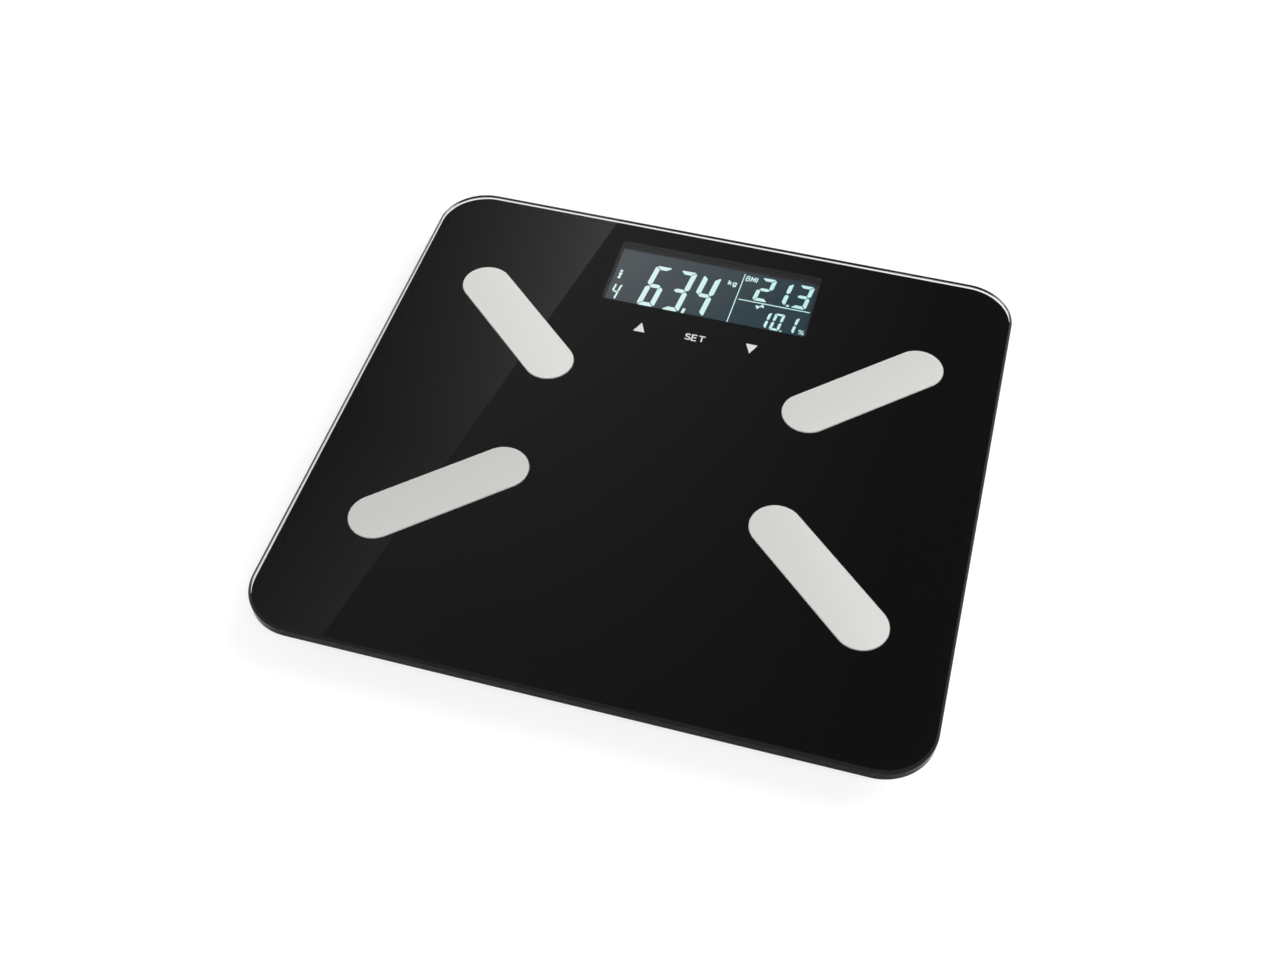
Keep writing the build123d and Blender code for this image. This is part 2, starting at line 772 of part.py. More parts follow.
# Backlight, from the front edge of the view to the back of the panel
backlight_front = display_y - view_height / 2
with BuildPart() as lcd_backlight:
    with BuildSketch(Plane.XY.offset(board_top)):
        with Locations((0, (backlight_front + lcd_back) / 2)):
            Rectangle(view_width + 2 * backlight_margin, lcd_back - backlight_front)
    extrude(amount=backlight_thickness)
write_piece(lcd_backlight, "lcd_backlight")

# Rubber contact strip between the panel and the board
with BuildPart() as contact_strip:
    with BuildSketch(Plane.XY.offset(board_top)):
        with Locations((0, lcd_front + contact_strip_inset + contact_strip_width / 2)):
            Rectangle(lcd_width - 2 * contact_strip_end_gap, contact_strip_width)
    extrude(amount=lcd_bottom - board_top)
write_piece(contact_strip, "contact_strip")

# Foam gasket round the window
with BuildPart() as display_gasket:
    with BuildSketch(Plane.XY.offset(bezel_top)):
        with Locations((0, display_y)):
            Rectangle(gasket_outer_width, gasket_outer_height)
        offset(amount=-gasket_width, mode=Mode.SUBTRACT)
    extrude(amount=film_bottom - bezel_top)
write_piece(display_gasket, "display_gasket")

# Control chip
with BuildPart() as control_chip:
    with BuildSketch(Plane.XY.offset(board_top)):
        with Locations((chip_x, board_front + component_row)):
            Rectangle(chip_size, chip_size)
    extrude(amount=chip_height)
    chamfer(control_chip.edges().group_by(Axis.Z)[-1], chip_chamfer)
write_piece(control_chip, "control_chip")

# Capacitors
with BuildPart() as board_capacitors:
    with BuildSketch(Plane.XY.offset(board_top)):
        with Locations((capacitor_x, board_front + component_row)):
            with GridLocations(capacitor_spacing, 0, 2, 1):
                Circle(capacitor_diameter / 2)
    extrude(amount=capacitor_height)
    fillet(board_capacitors.edges().group_by(Axis.Z)[-1], capacitor_round)
write_piece(board_capacitors, "board_capacitors")

# Connectors, five along the front edge of the board and one at each side
with BuildPart() as board_connectors:
    with BuildSketch(Plane.XY.offset(board_top)):
        with Locations((0, board_front + connector_depth / 2)):
            Rectangle(connector_width, connector_depth)
            with GridLocations(2 * cell_connector_x, 0, 2, 1):
                Rectangle(connector_width, connector_depth)
            with GridLocations(2 * electrode_connector_x, 0, 2, 1):
                Rectangle(connector_width, connector_depth)
        with Locations((0, foot_y)):
            with GridLocations(board_width - connector_depth, 0, 2, 1):
                Rectangle(connector_depth, connector_width)
    extrude(amount=connector_height)
write_piece(board_connectors, "board_connectors")

# Touch posts of conductive foam, from the board up to the film
for key, key_place in {"up": -1, "set": 0, "down": 1}.items():
    with BuildPart() as touch_post:
        with BuildSketch(Plane.XY.offset(board_top)):
            with Locations((key_place * key_spacing, key_y)):
                Circle(touch_post_diameter / 2)
        extrude(amount=film_bottom - board_top)
    write_piece(touch_post, f"touch_post_{key}")

# Unit switch under the board
with BuildPart() as unit_switch:
    with BuildSketch(Plane.XY.offset(switch_bottom)):
        with Locations((button_x, button_y)):
            Rectangle(switch_size, switch_size)
            Circle(plunger_diameter / 2 + plunger_fit, mode=Mode.SUBTRACT)
    extrude(amount=board_bottom - switch_bottom)
write_piece(unit_switch, "unit_switch")

# Plunger of the switch, which rests on the button
with BuildPart() as switch_plunger:
    with BuildSketch(Plane.XY.offset(button_top)):
        with Locations((button_x, button_y)):
            Circle(plunger_diameter / 2)
    extrude(amount=board_bottom - button_travel - plunger_stop_gap - button_top)
write_piece(switch_plunger, "switch_plunger")

# Unit button, kept in the tray by its flange
with BuildPart() as unit_button:
    with BuildSketch(Plane.XY.offset(tray_bottom - button_proud)):
        with Locations((button_x, button_y)):
            Circle(button_diameter / 2)
    extrude(amount=button_top - tray_bottom + button_proud)
    fillet(unit_button.edges().group_by(Axis.Z)[0], button_edge_round)
    with BuildSketch(Plane.XY.offset(button_top)):
        with Locations((button_x, button_y)):
            Circle(button_diameter / 2 + button_flange)
    extrude(amount=-button_flange_thickness)
write_piece(unit_button, "unit_button")

# Cells, whose nubs point to alternate ends of the bay
with BuildPart() as batteries:
    for row, nub_side in zip(battery_rows, nub_sides):
        base_reach = bay_length / 2 - contact_thickness - contact_leaf_depth - battery_fit
        with BuildSketch(Plane.YZ.offset(-nub_side * base_reach)):
            with Locations((row, battery_z)):
                Circle(battery_diameter / 2)
        extrude(amount=nub_side * battery_length)
        with BuildSketch(Plane.YZ.offset(-nub_side * base_reach)):
            with Locations((row, battery_z)):
                Circle(battery_nub_diameter / 2)
        extrude(amount=nub_side * battery_reach)
write_piece(batteries, "batteries")


def add_contact_plate(side: int, rows: list) -> None:
    """Add a flat plate on an end wall of the bay, across the given rows of cells."""
    with BuildSketch(Plane.YZ.offset(side * bay_length / 2)) as plate:
        with Locations(((rows[0] + rows[-1]) / 2, battery_z)):
            Rectangle(contact_size + abs(rows[0] - rows[-1]), contact_size)
    extrude(plate.sketch, amount=-side * contact_thickness)


def add_contact_leaf(side: int, row: float) -> None:
    """Add a folded spring leaf between a contact plate and the flat end of a cell."""
    root = side * (bay_length / 2 - contact_thickness)
    tip = root - side * contact_leaf_depth
    half_height = contact_size / 2
    with BuildSketch(Plane.XZ.offset(-row)) as leaf:
        with BuildLine():
            Polyline(
                (root, battery_z - half_height),
                (tip, battery_z),
                (root, battery_z + half_height),
                close=True,
            )
        make_face()
        offset(amount=-contact_thickness, mode=Mode.SUBTRACT)
    extrude(leaf.sketch, amount=contact_size / 2, both=True)


def add_contact_tail(side: int, row: float) -> None:
    """Add a flat tail from a contact plate out through the wall of the bay."""
    tail_length = contact_thickness + bay_wall + contact_tail_length
    with BuildSketch(Plane.YZ.offset(side * (bay_length / 2 - contact_thickness))) as tail:
        with Locations((row, battery_z)):
            Rectangle(contact_tail_width, contact_thickness)
    extrude(tail.sketch, amount=side * tail_length)


# Contacts: a plate at each nub, a leaf at each flat end, and bridges from cell to cell
with BuildPart() as contact_positive:
    add_contact_plate(nub_sides[0], battery_rows[:1])
    add_contact_tail(nub_sides[0], battery_rows[0])
write_piece(contact_positive, "battery_contact_positive")

with BuildPart() as contact_negative:
    add_contact_plate(-nub_sides[-1], battery_rows[-1:])
    add_contact_leaf(-nub_sides[-1], battery_rows[-1])
    add_contact_tail(-nub_sides[-1], battery_rows[-1])
write_piece(contact_negative, "battery_contact_negative")

with BuildPart() as battery_bridges:
    for index in range(battery_count - 1):
        add_contact_plate(-nub_sides[index], battery_rows[index:index + 2])
        add_contact_leaf(-nub_sides[index], battery_rows[index])
write_piece(battery_bridges, "battery_bridges")

# Battery door: plate, hinge barrel, latch tongue and grip bars
with BuildPart() as battery_door:
    with BuildSketch(Plane.XY.offset(tray_bottom)):
        with Locations((0, (hinge_y + door_back) / 2)):
            Rectangle(door_length, door_back - hinge_y)
    extrude(amount=door_thickness)
    fillet(
        battery_door.edges().filter_by(Axis.Z).group_by(Axis.Y)[-1],
        door_corner_radius,
    )
    with BuildSketch(Plane.YZ):
        with Locations((hinge_y, hinge_z)):
            Circle(hinge_barrel_diameter / 2)
    extrude(amount=door_length / 2, both=True)
    with BuildSketch(Plane.YZ):
        with Locations((hinge_y, hinge_z)):
            Circle(hinge_pin_diameter / 2 + hinge_fit)
    extrude(amount=door_length / 2, both=True, mode=Mode.SUBTRACT)
    with BuildSketch(Plane.XY.offset(tray_bottom)):
        with Locations((0, door_back - latch_length / 2)):
            with GridLocations(latch_width, 0, 2, 1):
                Rectangle(latch_slot, latch_length)
    extrude(amount=door_thickness, mode=Mode.SUBTRACT)
    with BuildSketch(Plane.XY.offset(tray_bottom)):
        with Locations((0, door_back - latch_length / 2)):
            with GridLocations(0, grip_bar_spacing, 1, grip_bar_count):
                Rectangle(grip_bar_length, grip_bar_width)
    extrude(amount=-grip_bar_height)
write_piece(battery_door, "battery_door")

# Hinge pin, fixed in the tray
with BuildPart() as hinge_pin:
    with BuildSketch(Plane.YZ):
        with Locations((hinge_y, hinge_z)):
            Circle(hinge_pin_diameter / 2)
    extrude(amount=door_length / 2 + hinge_pin_reach - hinge_fit, both=True)
write_piece(hinge_pin, "hinge_pin")


def bend_radii(points: list) -> list:
    """Give each corner of a lead's route the largest arc that its two runs allow."""
    radii = []
    for before, corner_point, after in zip(points, points[1:], points[2:]):
        run_in = Vector(*corner_point) - Vector(*before)
        run_out = Vector(*after) - Vector(*corner_point)
        half_turn = radians(run_in.get_angle(run_out)) / 2
        largest = bend_share * min(run_in.length, run_out.length) / tan(half_turn)
        radii.append(min(largest, bend_limit))
    return radii


def write_lead(name: str, points: list, diameter: float) -> None:
    """Sweep a round lead along straight runs joined by tangent arcs, and write it."""
    with BuildPart() as lead:
        with BuildLine() as route:
            FilletPolyline(*points, radius=bend_radii(points))
        with BuildSketch(Plane(origin=route.line @ 0, z_dir=route.line % 0)):
            Circle(diameter / 2)
        sweep()
    write_piece(lead, name)


# Leads of the load cells, from the connectors to the strain gauges
cell_lead_floor = tray_floor_top + cell_lead_diameter / 2 + lead_gap
gauge_z = load_cell_top + cell_lead_diameter / 2 + lead_gap
gauge_end_x = foot_x - gauge_offset - gauge_length / 2 - lead_gap
clamp_side_x = foot_x - clamp_size / 2
for corner, (side, end) in corners.items():
    if end > 0:
        cell_route = [
            (side * (board_width / 2 + lead_gap), foot_y, wire_height),
            (side * (board_width / 2 + side_lead_exit), foot_y, wire_height),
            (
                side * (board_width / 2 + clamp_side_x) / 2,
                foot_y - side_lead_slack,
                cell_lead_floor + lead_dip,
            ),
        ]
    else:
        cell_route = [
            (side * cell_connector_x, board_front - lead_gap, wire_height),
            (side * cell_connector_x, board_front - front_lead_exit, wire_height),
        ]
        cell_route += [(side * x, y, cell_lead_floor) for x, y in front_cell_lead_points]
    cell_route += [
        (side * (clamp_side_x - clamp_lead_entry), end * foot_y, gauge_z),
        (side * gauge_end_x, end * foot_y, gauge_z),
    ]
    write_lead(f"load_cell_lead_{corner}", cell_route, cell_lead_diameter)

# Leads of the electrodes, from the connectors to the studs
electrode_lead_floor = tray_floor_top + electrode_lead_diameter / 2 + lead_gap
stud_z = film_bottom - stud_drop / 2
stud_side_x = electrode_x - stud_diameter / 2 - lead_gap
for corner, (side, end) in corners.items():
    pin_x = electrode_connector_x + end * electrode_pin_offset
    electrode_route = [
        (side * pin_x, board_front - lead_gap, wire_height),
        (side * pin_x, board_front - front_lead_exit, wire_height),
    ]
    if end > 0:
        lead_x, lead_y = rear_electrode_lead_point
        electrode_route.append((side * lead_x, lead_y, wire_height))
    else:
        electrode_route += [
            (side * x, y, electrode_lead_floor) for x, y in front_electrode_lead_points
        ]
    rise_x, rise_y = stud_lead_point
    electrode_route += [
        (side * rise_x, end * rise_y, stud_z - lead_dip),
        (side * (stud_side_x - stud_lead_entry), end * electrode_y, stud_z),
        (side * stud_side_x, end * electrode_y, stud_z),
    ]
    write_lead(f"electrode_lead_{corner}", electrode_route, electrode_lead_diameter)

# Leads of the battery bay, from the tails of the outer contacts to the middle connector
tail_end_x = bay_length / 2 + bay_wall + contact_tail_length + lead_gap
battery_lead_points = {"positive": positive_lead_points, "negative": negative_lead_points}
for (pole, lead_points), (side, row) in zip(battery_lead_points.items(), contact_tails):
    battery_route = [
        (side * tail_end_x, row, battery_z),
        (side * (tail_end_x + battery_lead_exit), row, battery_z),
    ]
    battery_route += [
        (side * (tail_end_x + reach), board_front - setback, battery_z - lead_dip)
        for reach, setback in lead_points
    ]
    battery_route += [
        (
            side * (battery_pin_offset + battery_lead_spread),
            board_front - 2 * battery_lead_exit,
            wire_height - lead_dip / 2,
        ),
        (side * battery_pin_offset, board_front - battery_lead_exit, wire_height),
        (side * battery_pin_offset, board_front - lead_gap, wire_height),
    ]
    write_lead(f"battery_lead_{pole}", battery_route, battery_lead_diameter)
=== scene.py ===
"""Digital bathroom scale: a black-backed glass platform with steel electrodes and a lit display.

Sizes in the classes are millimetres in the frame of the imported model: +Z is up, +Y points to the
display and the origin is on the floor under the middle of the platform.
"""

import json
import logging
import math
from dataclasses import dataclass
from enum import Enum, IntEnum
from functools import cache
from typing import Sequence, Union

import bmesh
import bpy
from bmesh.types import BMEdge, BMFace, BMVert
from bpy.types import Material, Node, NodeSocket, NodeTree, Object
from mathutils import Matrix, Quaternion, Vector


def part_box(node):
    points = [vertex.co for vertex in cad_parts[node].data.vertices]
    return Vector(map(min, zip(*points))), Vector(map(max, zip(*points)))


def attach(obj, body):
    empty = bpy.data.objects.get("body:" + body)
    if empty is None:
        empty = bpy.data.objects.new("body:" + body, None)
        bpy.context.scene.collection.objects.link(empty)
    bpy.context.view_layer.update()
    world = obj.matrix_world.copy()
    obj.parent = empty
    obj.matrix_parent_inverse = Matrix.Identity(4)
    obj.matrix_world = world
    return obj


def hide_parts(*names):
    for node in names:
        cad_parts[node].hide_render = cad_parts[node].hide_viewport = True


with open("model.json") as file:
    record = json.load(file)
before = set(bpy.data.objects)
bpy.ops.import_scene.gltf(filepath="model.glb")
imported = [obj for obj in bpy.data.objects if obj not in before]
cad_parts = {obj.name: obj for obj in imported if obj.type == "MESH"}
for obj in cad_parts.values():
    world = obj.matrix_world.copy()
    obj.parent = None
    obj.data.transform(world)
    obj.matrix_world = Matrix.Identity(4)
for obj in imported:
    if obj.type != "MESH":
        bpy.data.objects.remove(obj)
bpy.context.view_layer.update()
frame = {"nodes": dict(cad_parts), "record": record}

MM = 0.001
SAME_PLACE = 1e-7
SMEAR_SIZE = 40.0
SPECK_SIZE = 0.6
BODY = "platform"
LOG = logging.getLogger("scale")
Colour = tuple[float, float, float]
Point = tuple[float, float]
Stops = tuple[Point, Point]
RISE: Stops = ((0.0, 0.0), (1.0, 1.0))
FALL: Stops = ((0.0, 1.0), (1.0, 0.0))


class Corner(Enum):
    """The four corners of the platform, as signs along X and Y."""

    FRONT_LEFT = (-1, -1)
    FRONT_RIGHT = (1, -1)
    REAR_LEFT = (-1, 1)
    REAR_RIGHT = (1, 1)

    @property
    def label(self) -> str:
        """Give the corner's name as it stands in node names."""
        return self.name.lower()


class Grain(Enum):
    """How the skin of a moulded, rubber or foam piece is broken up."""

    SPARK = "even moulded grain"
    CELLS = "small open cells"
    SKIN = "slightly uneven skin"


class PlateFace(IntEnum):
    """Material numbers of the faces of the glass plate."""

    CLEAR = 0
    INK = 1
    SIDE = 2
    CHAMFER = 3
    ARRIS = 4
    BACKED = 5


class Signal:
    """A number that a node gives, ready for Python arithmetic."""

    def __init__(self, sheet: "NodeSheet", socket: NodeSocket) -> None:
        """Keep the sheet and the socket that the number comes from."""
        self.sheet = sheet
        self.socket = socket

    def combine(self, operation: str, first: "Value", second: "Value") -> "Signal":
        """Give the result of a Math node with an operation on two values."""
        node = self.sheet.add("ShaderNodeMath", {0: first, 1: second}, operation=operation)
        return Signal(self.sheet, node.outputs[0])

    def __add__(self, other: "Value") -> "Signal":
        """Add a number."""
        return self.combine("ADD", self, other)

    def __sub__(self, other: "Value") -> "Signal":
        """Subtract a number."""
        return self.combine("SUBTRACT", self, other)

    def __rsub__(self, other: "Value") -> "Signal":
        """Subtract from a number."""
        return self.combine("SUBTRACT", other, self)

    def __mul__(self, other: "Value") -> "Signal":
        """Multiply by a number."""
        return self.combine("MULTIPLY", self, other)

    def most(self, other: "Value") -> "Signal":
        """Give the larger of the two numbers."""
        return self.combine("MAXIMUM", self, other)

    def size(self) -> "Signal":
        """Give the number without its sign."""
        return self.combine("ABSOLUTE", self, 0.0)

    def root(self) -> "Signal":
        """Give the square root of the number."""
        return self.combine("POWER", self, 0.5)

    def swing(self, width: float) -> "Signal":
        """Turn a number from 0 to 1 into a swing of a width about 0."""
        return (self - 0.5) * width


Value = Union[Signal, float]
Paint = Union[Colour, NodeSocket]


def scaled(colour: Colour, factor: float) -> Colour:
    """Make a colour lighter or darker by a factor."""
    red, green, blue = colour
    return red * factor, green * factor, blue * factor


class NodeSheet:
    """The nodes of one material or of the world."""

    def __init__(self, tree: NodeTree) -> None:
        """Start with an empty tree."""
        self.tree = tree
        tree.nodes.clear()

    def add(self, kind: str, sockets: dict, **settings: str) -> Node:
        """Add a node.

        Args:
            kind: the node's type.
            sockets: values or links for its inputs, by name or index.
            settings: its settings, which are set before its sockets.

        Returns:
            The new node.
        """
        node = self.tree.nodes.new(kind)
        for name, setting in settings.items():
            setattr(node, name, setting)
        for key, value in sockets.items():
            source = value.socket if isinstance(value, Signal) else value
            if isinstance(source, NodeSocket):
                self.tree.links.new(source, node.inputs[key])
            else:
                node.inputs[key].default_value = source
        return node

    def principled(self, sockets: dict) -> Node:
        """Add a Principled shader."""
        return self.add("ShaderNodeBsdfPrincipled", sockets)

    def place(self) -> NodeSocket:
        """Give the object coordinates of the surface, in metres."""
        return self.add("ShaderNodeTexCoord", {}).outputs["Object"]

    def axes(self, place: NodeSocket) -> list[Signal]:
        """Split a place into its X, Y and Z."""
        parts = self.add("ShaderNodeSeparateXYZ", {0: place}).outputs
        return [Signal(self, part) for part in parts]

    def noise(self, place: NodeSocket, size: float, detail: float = 2.0) -> Signal:
        """Add noise from 0 to 1, with spots of a size in millimetres and some finer detail."""
        sockets = {"Vector": place, "Scale": 1 / (size * MM), "Detail": detail}
        return Signal(self, self.add("ShaderNodeTexNoise", sockets).outputs[0])

    def cells(self, place: NodeSocket, size: float, measure: str = "EUCLIDEAN") -> Signal:
        """Measure how far the middle of the nearest cell is, for cells of a size in millimetres."""
        sockets = {"Vector": place, "Scale": 1 / (size * MM)}
        return Signal(self, self.add("ShaderNodeTexVoronoi", sockets, distance=measure).outputs[0])

    def ramp(self, value: Signal, stops: Stops = RISE) -> Signal:
        """Send a number through a ramp.

        Args:
            value: the number.
            stops: place and grey level of the ramp's two stops.

        Returns:
            The grey level.
        """
        node = self.add("ShaderNodeValToRGB", {0: value})
        for element, (place, level) in zip(node.color_ramp.elements, stops):
            element.position = place
            element.color = (level, level, level, 1.0)
        return Signal(self, node.outputs[0])

    def blend(self, share: Signal, first: Paint, second: Paint) -> NodeSocket:
        """Mix two colours, with a share of the second one."""
        low, high = [end if isinstance(end, NodeSocket) else (*end, 1.0) for end in (first, second)]
        return self.add("ShaderNodeMix", {0: share, 6: low, 7: high}, data_type="RGBA").outputs[2]

    def mottled(self, share: Signal, colour: Colour, spread: float) -> NodeSocket:
        """Let a colour vary, by a spread that is a part of it, from darker to lighter."""
        return self.blend(share, scaled(colour, 1 - spread), scaled(colour, 1 + spread))

    def bump(self, height: Signal, depth: float, strength: float) -> NodeSocket:
        """Turn heights from 0 to 1, where 1 is a depth in millimetres, into a normal."""
        sockets = {"Strength": strength, "Distance": depth * MM, "Height": height}
        return self.add("ShaderNodeBump", sockets).outputs[0]


@dataclass(frozen=True)
class Finish:
    """A surface finish; its material is made once, on first use."""

    name: str

    def shade(self, sheet: NodeSheet) -> Node:
        """Add the finish's shader to a sheet and give it."""
        raise NotImplementedError


@cache
def material_of(finish: Finish) -> Material:
    """Make a finish's material.

    Args:
        finish: the finish to make.

    Returns:
        Its material, the same one on every call.
    """
    material = bpy.data.materials.new(finish.name)
    material.use_nodes = True
    sheet = NodeSheet(material.node_tree)
    shader = finish.shade(sheet)
    sheet.add("ShaderNodeOutputMaterial", {"Surface": shader.outputs[0]})
    return material


@dataclass(frozen=True)
class GrainedFinish(Finish):
    """Plastic, rubber, foam or lacquer with a grain, sizes in millimetres."""

    colour: Colour
    roughness: float
    grain: Grain = Grain.SPARK
    grain_size: float = 0.35
    grain_depth: float = 0.02
    mottle: float = 0.12
    mottle_size: float = 14.0
    metallic: float = 0.0
    mottle_gloss: float = 0.16
    grain_gloss: float = 0.08
    grain_bump: float = 0.8
    skin_bump: float = 0.4

    def shade(self, sheet: NodeSheet) -> Node:
        """Add the shader, with the grain in its normal and a mottle in colour and gloss.

        Args:
            sheet: the sheet to add it to.

        Returns:
            The new node.
        """
        place = sheet.place()
        mottle = sheet.noise(place, self.mottle_size, detail=4.0)
        texture = sheet.cells if self.grain is Grain.CELLS else sheet.noise
        height = texture(place, self.grain_size)
        roughness = mottle.swing(self.mottle_gloss) + self.roughness
        strength = self.skin_bump if self.grain is Grain.SKIN else self.grain_bump
        return sheet.principled({
            "Base Color": sheet.mottled(mottle, self.colour, self.mottle),
            "Metallic": self.metallic,
            "Roughness": roughness + height.swing(self.grain_gloss),
            "Normal": sheet.bump(height, self.grain_depth, strength),
        })


@dataclass(frozen=True)
class BrushedSteel(Finish):
    """Satin steel with fine lines along one direction."""

    colour: Colour
    turn: float
    roughness: float = 0.5
    metallic: float = 0.3
    line_width: float = 0.12
    line_length: float = 9.0
    line_depth: float = 0.004
    line_gloss: float = 0.12
    line_bump: float = 0.25
    line_share: float = 0.7
    cloud_size: float = 30.0
    darkest: float = 0.97
    palest: float = 1.02

    def shade(self, sheet: NodeSheet) -> Node:
        """Add the shader, with the lines in its colour, gloss and normal.

        Args:
            sheet: the sheet to add it to.

        Returns:
            The new node.
        """
        place = sheet.place()
        stretch = {
            "Vector": place,
            "Rotation": (0.0, 0.0, math.radians(self.turn)),
            "Scale": (self.line_length / self.line_width, 1.0, 1.0),
        }
        turned = sheet.add("ShaderNodeMapping", stretch, vector_type="TEXTURE").outputs[0]
        lines = sheet.noise(turned, self.line_width, detail=3.0)
        clouds = sheet.noise(place, self.cloud_size)
        tone = lines * self.line_share + clouds * (1 - self.line_share)
        dark, pale = scaled(self.colour, self.darkest), scaled(self.colour, self.palest)
        return sheet.principled({
            "Base Color": sheet.blend(tone, dark, pale),
            "Metallic": self.metallic,
            "Roughness": lines.swing(self.line_gloss) + self.roughness,
            "Normal": sheet.bump(lines, self.line_depth, self.line_bump),
        })


@dataclass(frozen=True)
class ClearGlass(Finish):
    """Polished clear glass with the faintest smears on it."""

    tint: Colour = (0.97, 0.985, 0.98)
    ior: float = 1.52
    smear: float = 0.01
    shine: float = 1.0

    def shade(self, sheet: NodeSheet) -> Node:
        """Add the glass shader, with the smears in its gloss.

        Args:
            sheet: the sheet to add it to.

        Returns:
            The new node.
        """
        smears = sheet.noise(sheet.place(), SMEAR_SIZE, detail=3.0)
        return sheet.principled({
            "Base Color": (*self.tint, 1.0),
            "Roughness": smears * self.smear,
            "IOR": self.ior,
            "Specular Tint": (self.shine, self.shine, self.shine, 1.0),
            "Transmission Weight": 1.0,
        })


@dataclass(frozen=True)
class PrintInk(Finish):
    """Ink on the underside of the glass, where no air lies between."""

    colour: Colour
    mottle: float = 0.1
    gloss: float = 0.0
    dull: float = 0.8
    polished: float = 0.2
    speck_gloss: float = 0.1

    def shade(self, sheet: NodeSheet) -> Node:
        """Add the shader, dull unless it has some gloss of its own.

        Args:
            sheet: the sheet to add it to.

        Returns:
            The new node.
        """
        specks = sheet.noise(sheet.place(), SPECK_SIZE)
        return sheet.principled({
            "Base Color": sheet.mottled(specks, self.colour, self.mottle),
            "Roughness": specks * self.speck_gloss + (self.polished if self.gloss else self.dull),
            "Specular IOR Level": self.gloss,
        })


@dataclass(frozen=True)
class BackedGlass(Finish):
    """Polished glass with dense print under it, of which little but the gloss shows."""

    colour: Colour
    mottle: float = 0.1
    ior: float = 1.52
    smear: float = 0.01

    def shade(self, sheet: NodeSheet) -> Node:
        """Add the shader, with specks in the print and smears in the gloss.

        Args:
            sheet: the sheet to add it to.

        Returns:
            The new node.
        """
        place = sheet.place()
        specks = sheet.noise(place, SPECK_SIZE)
        return sheet.principled({
            "Base Color": sheet.mottled(specks, self.colour, self.mottle),
            "Roughness": sheet.noise(place, SMEAR_SIZE, detail=3.0) * self.smear,
            "IOR": self.ior,
        })


@dataclass(frozen=True)
class Backlit(Finish):
    """A lit face whose colour changes from one corner of the display to the other."""

    first: Colour
    second: Colour
    first_place: Point
    second_place: Point
    unlit: Colour = (0.01, 0.011, 0.012)
    cloud_size: float = 18.0
    cloud_depth: float = 0.2
    roughness: float = 0.5
    gloss: float = 0.1

    def shade(self, sheet: NodeSheet) -> Node:
        """Add the shader, with the light as its emission.

        Args:
            sheet: the sheet to add it to.

        Returns:
            The new node.
        """
        place = sheet.place()
        across, along, _ = sheet.axes(place)
        start = Vector(self.first_place) * MM
        run = Vector(self.second_place) * MM - start
        share = (across - start.x) * (run.x / run.length_squared)
        share = share + (along - start.y) * (run.y / run.length_squared)
        cloud = sheet.noise(place, self.cloud_size).swing(self.cloud_depth)
        return sheet.principled({
            "Base Color": (*self.unlit, 1.0),
            "Roughness": self.roughness,
            "Specular IOR Level": self.gloss,
            "Emission Color": sheet.blend(sheet.ramp(share + cloud), self.first, self.second),
            "Emission Strength": 1.0,
        })


@dataclass(frozen=True)
class CircuitBoard(Finish):
    """Green lacquer over copper tracks on a square grid."""

    lacquer: Colour = (0.012, 0.085, 0.035)
    track: Colour = (0.03, 0.16, 0.06)
    track_pitch: float = 2.4
    track_edge: Stops = ((0.42, 0.0), (0.5, 1.0))
    track_height: float = 0.03
    track_bump: float = 0.6
    track_gloss: float = 0.1
    roughness: float = 0.35

    def shade(self, sheet: NodeSheet) -> Node:
        """Add the shader, with the tracks raised and paler.

        Args:
            sheet: the sheet to add it to.

        Returns:
            The new node.
        """
        grid = sheet.cells(sheet.place(), self.track_pitch, "MANHATTAN")
        tracks = sheet.ramp(grid, self.track_edge)
        return sheet.principled({
            "Base Color": sheet.blend(tracks, self.lacquer, self.track),
            "Roughness": tracks * self.track_gloss + self.roughness,
            "Normal": sheet.bump(tracks, self.track_height, self.track_bump),
        })


@dataclass(frozen=True)
class CellSleeve(Finish):
    """A plain printed sleeve round each cell, with bare steel ends along X."""

    sleeve: Colour = (0.05, 0.055, 0.065)
    band: Colour = (0.30, 0.31, 0.33)
    steel: Colour = (0.62, 0.62, 0.63)
    band_reach: float = 11.0
    sleeve_reach: float = 20.6
    edge_width: float = 0.25
    wear_size: float = 3.0
    wear_depth: float = 0.01
    wear_bump: float = 0.3
    wear_gloss: float = 0.15
    roughness: float = 0.3

    def shade(self, sheet: NodeSheet) -> Node:
        """Add the shader, with band and ends set by the distance from the middle.

        Args:
            sheet: the sheet to add it to.

        Returns:
            The new node.
        """
        place = sheet.place()
        reach = sheet.axes(place)[0].size() * (1 / MM)
        edges = (self.band_reach, self.sleeve_reach)
        banded, bare = [sheet.ramp((reach - edge) * (1 / self.edge_width)) for edge in edges]
        printed = sheet.blend(banded, self.sleeve, self.band)
        wear = sheet.noise(place, self.wear_size, detail=3.0)
        return sheet.principled({
            "Base Color": sheet.blend(bare, printed, self.steel),
            "Metallic": bare,
            "Roughness": wear * self.wear_gloss + self.roughness,
            "Normal": sheet.bump(wear, self.wear_depth, self.wear_bump),
        })


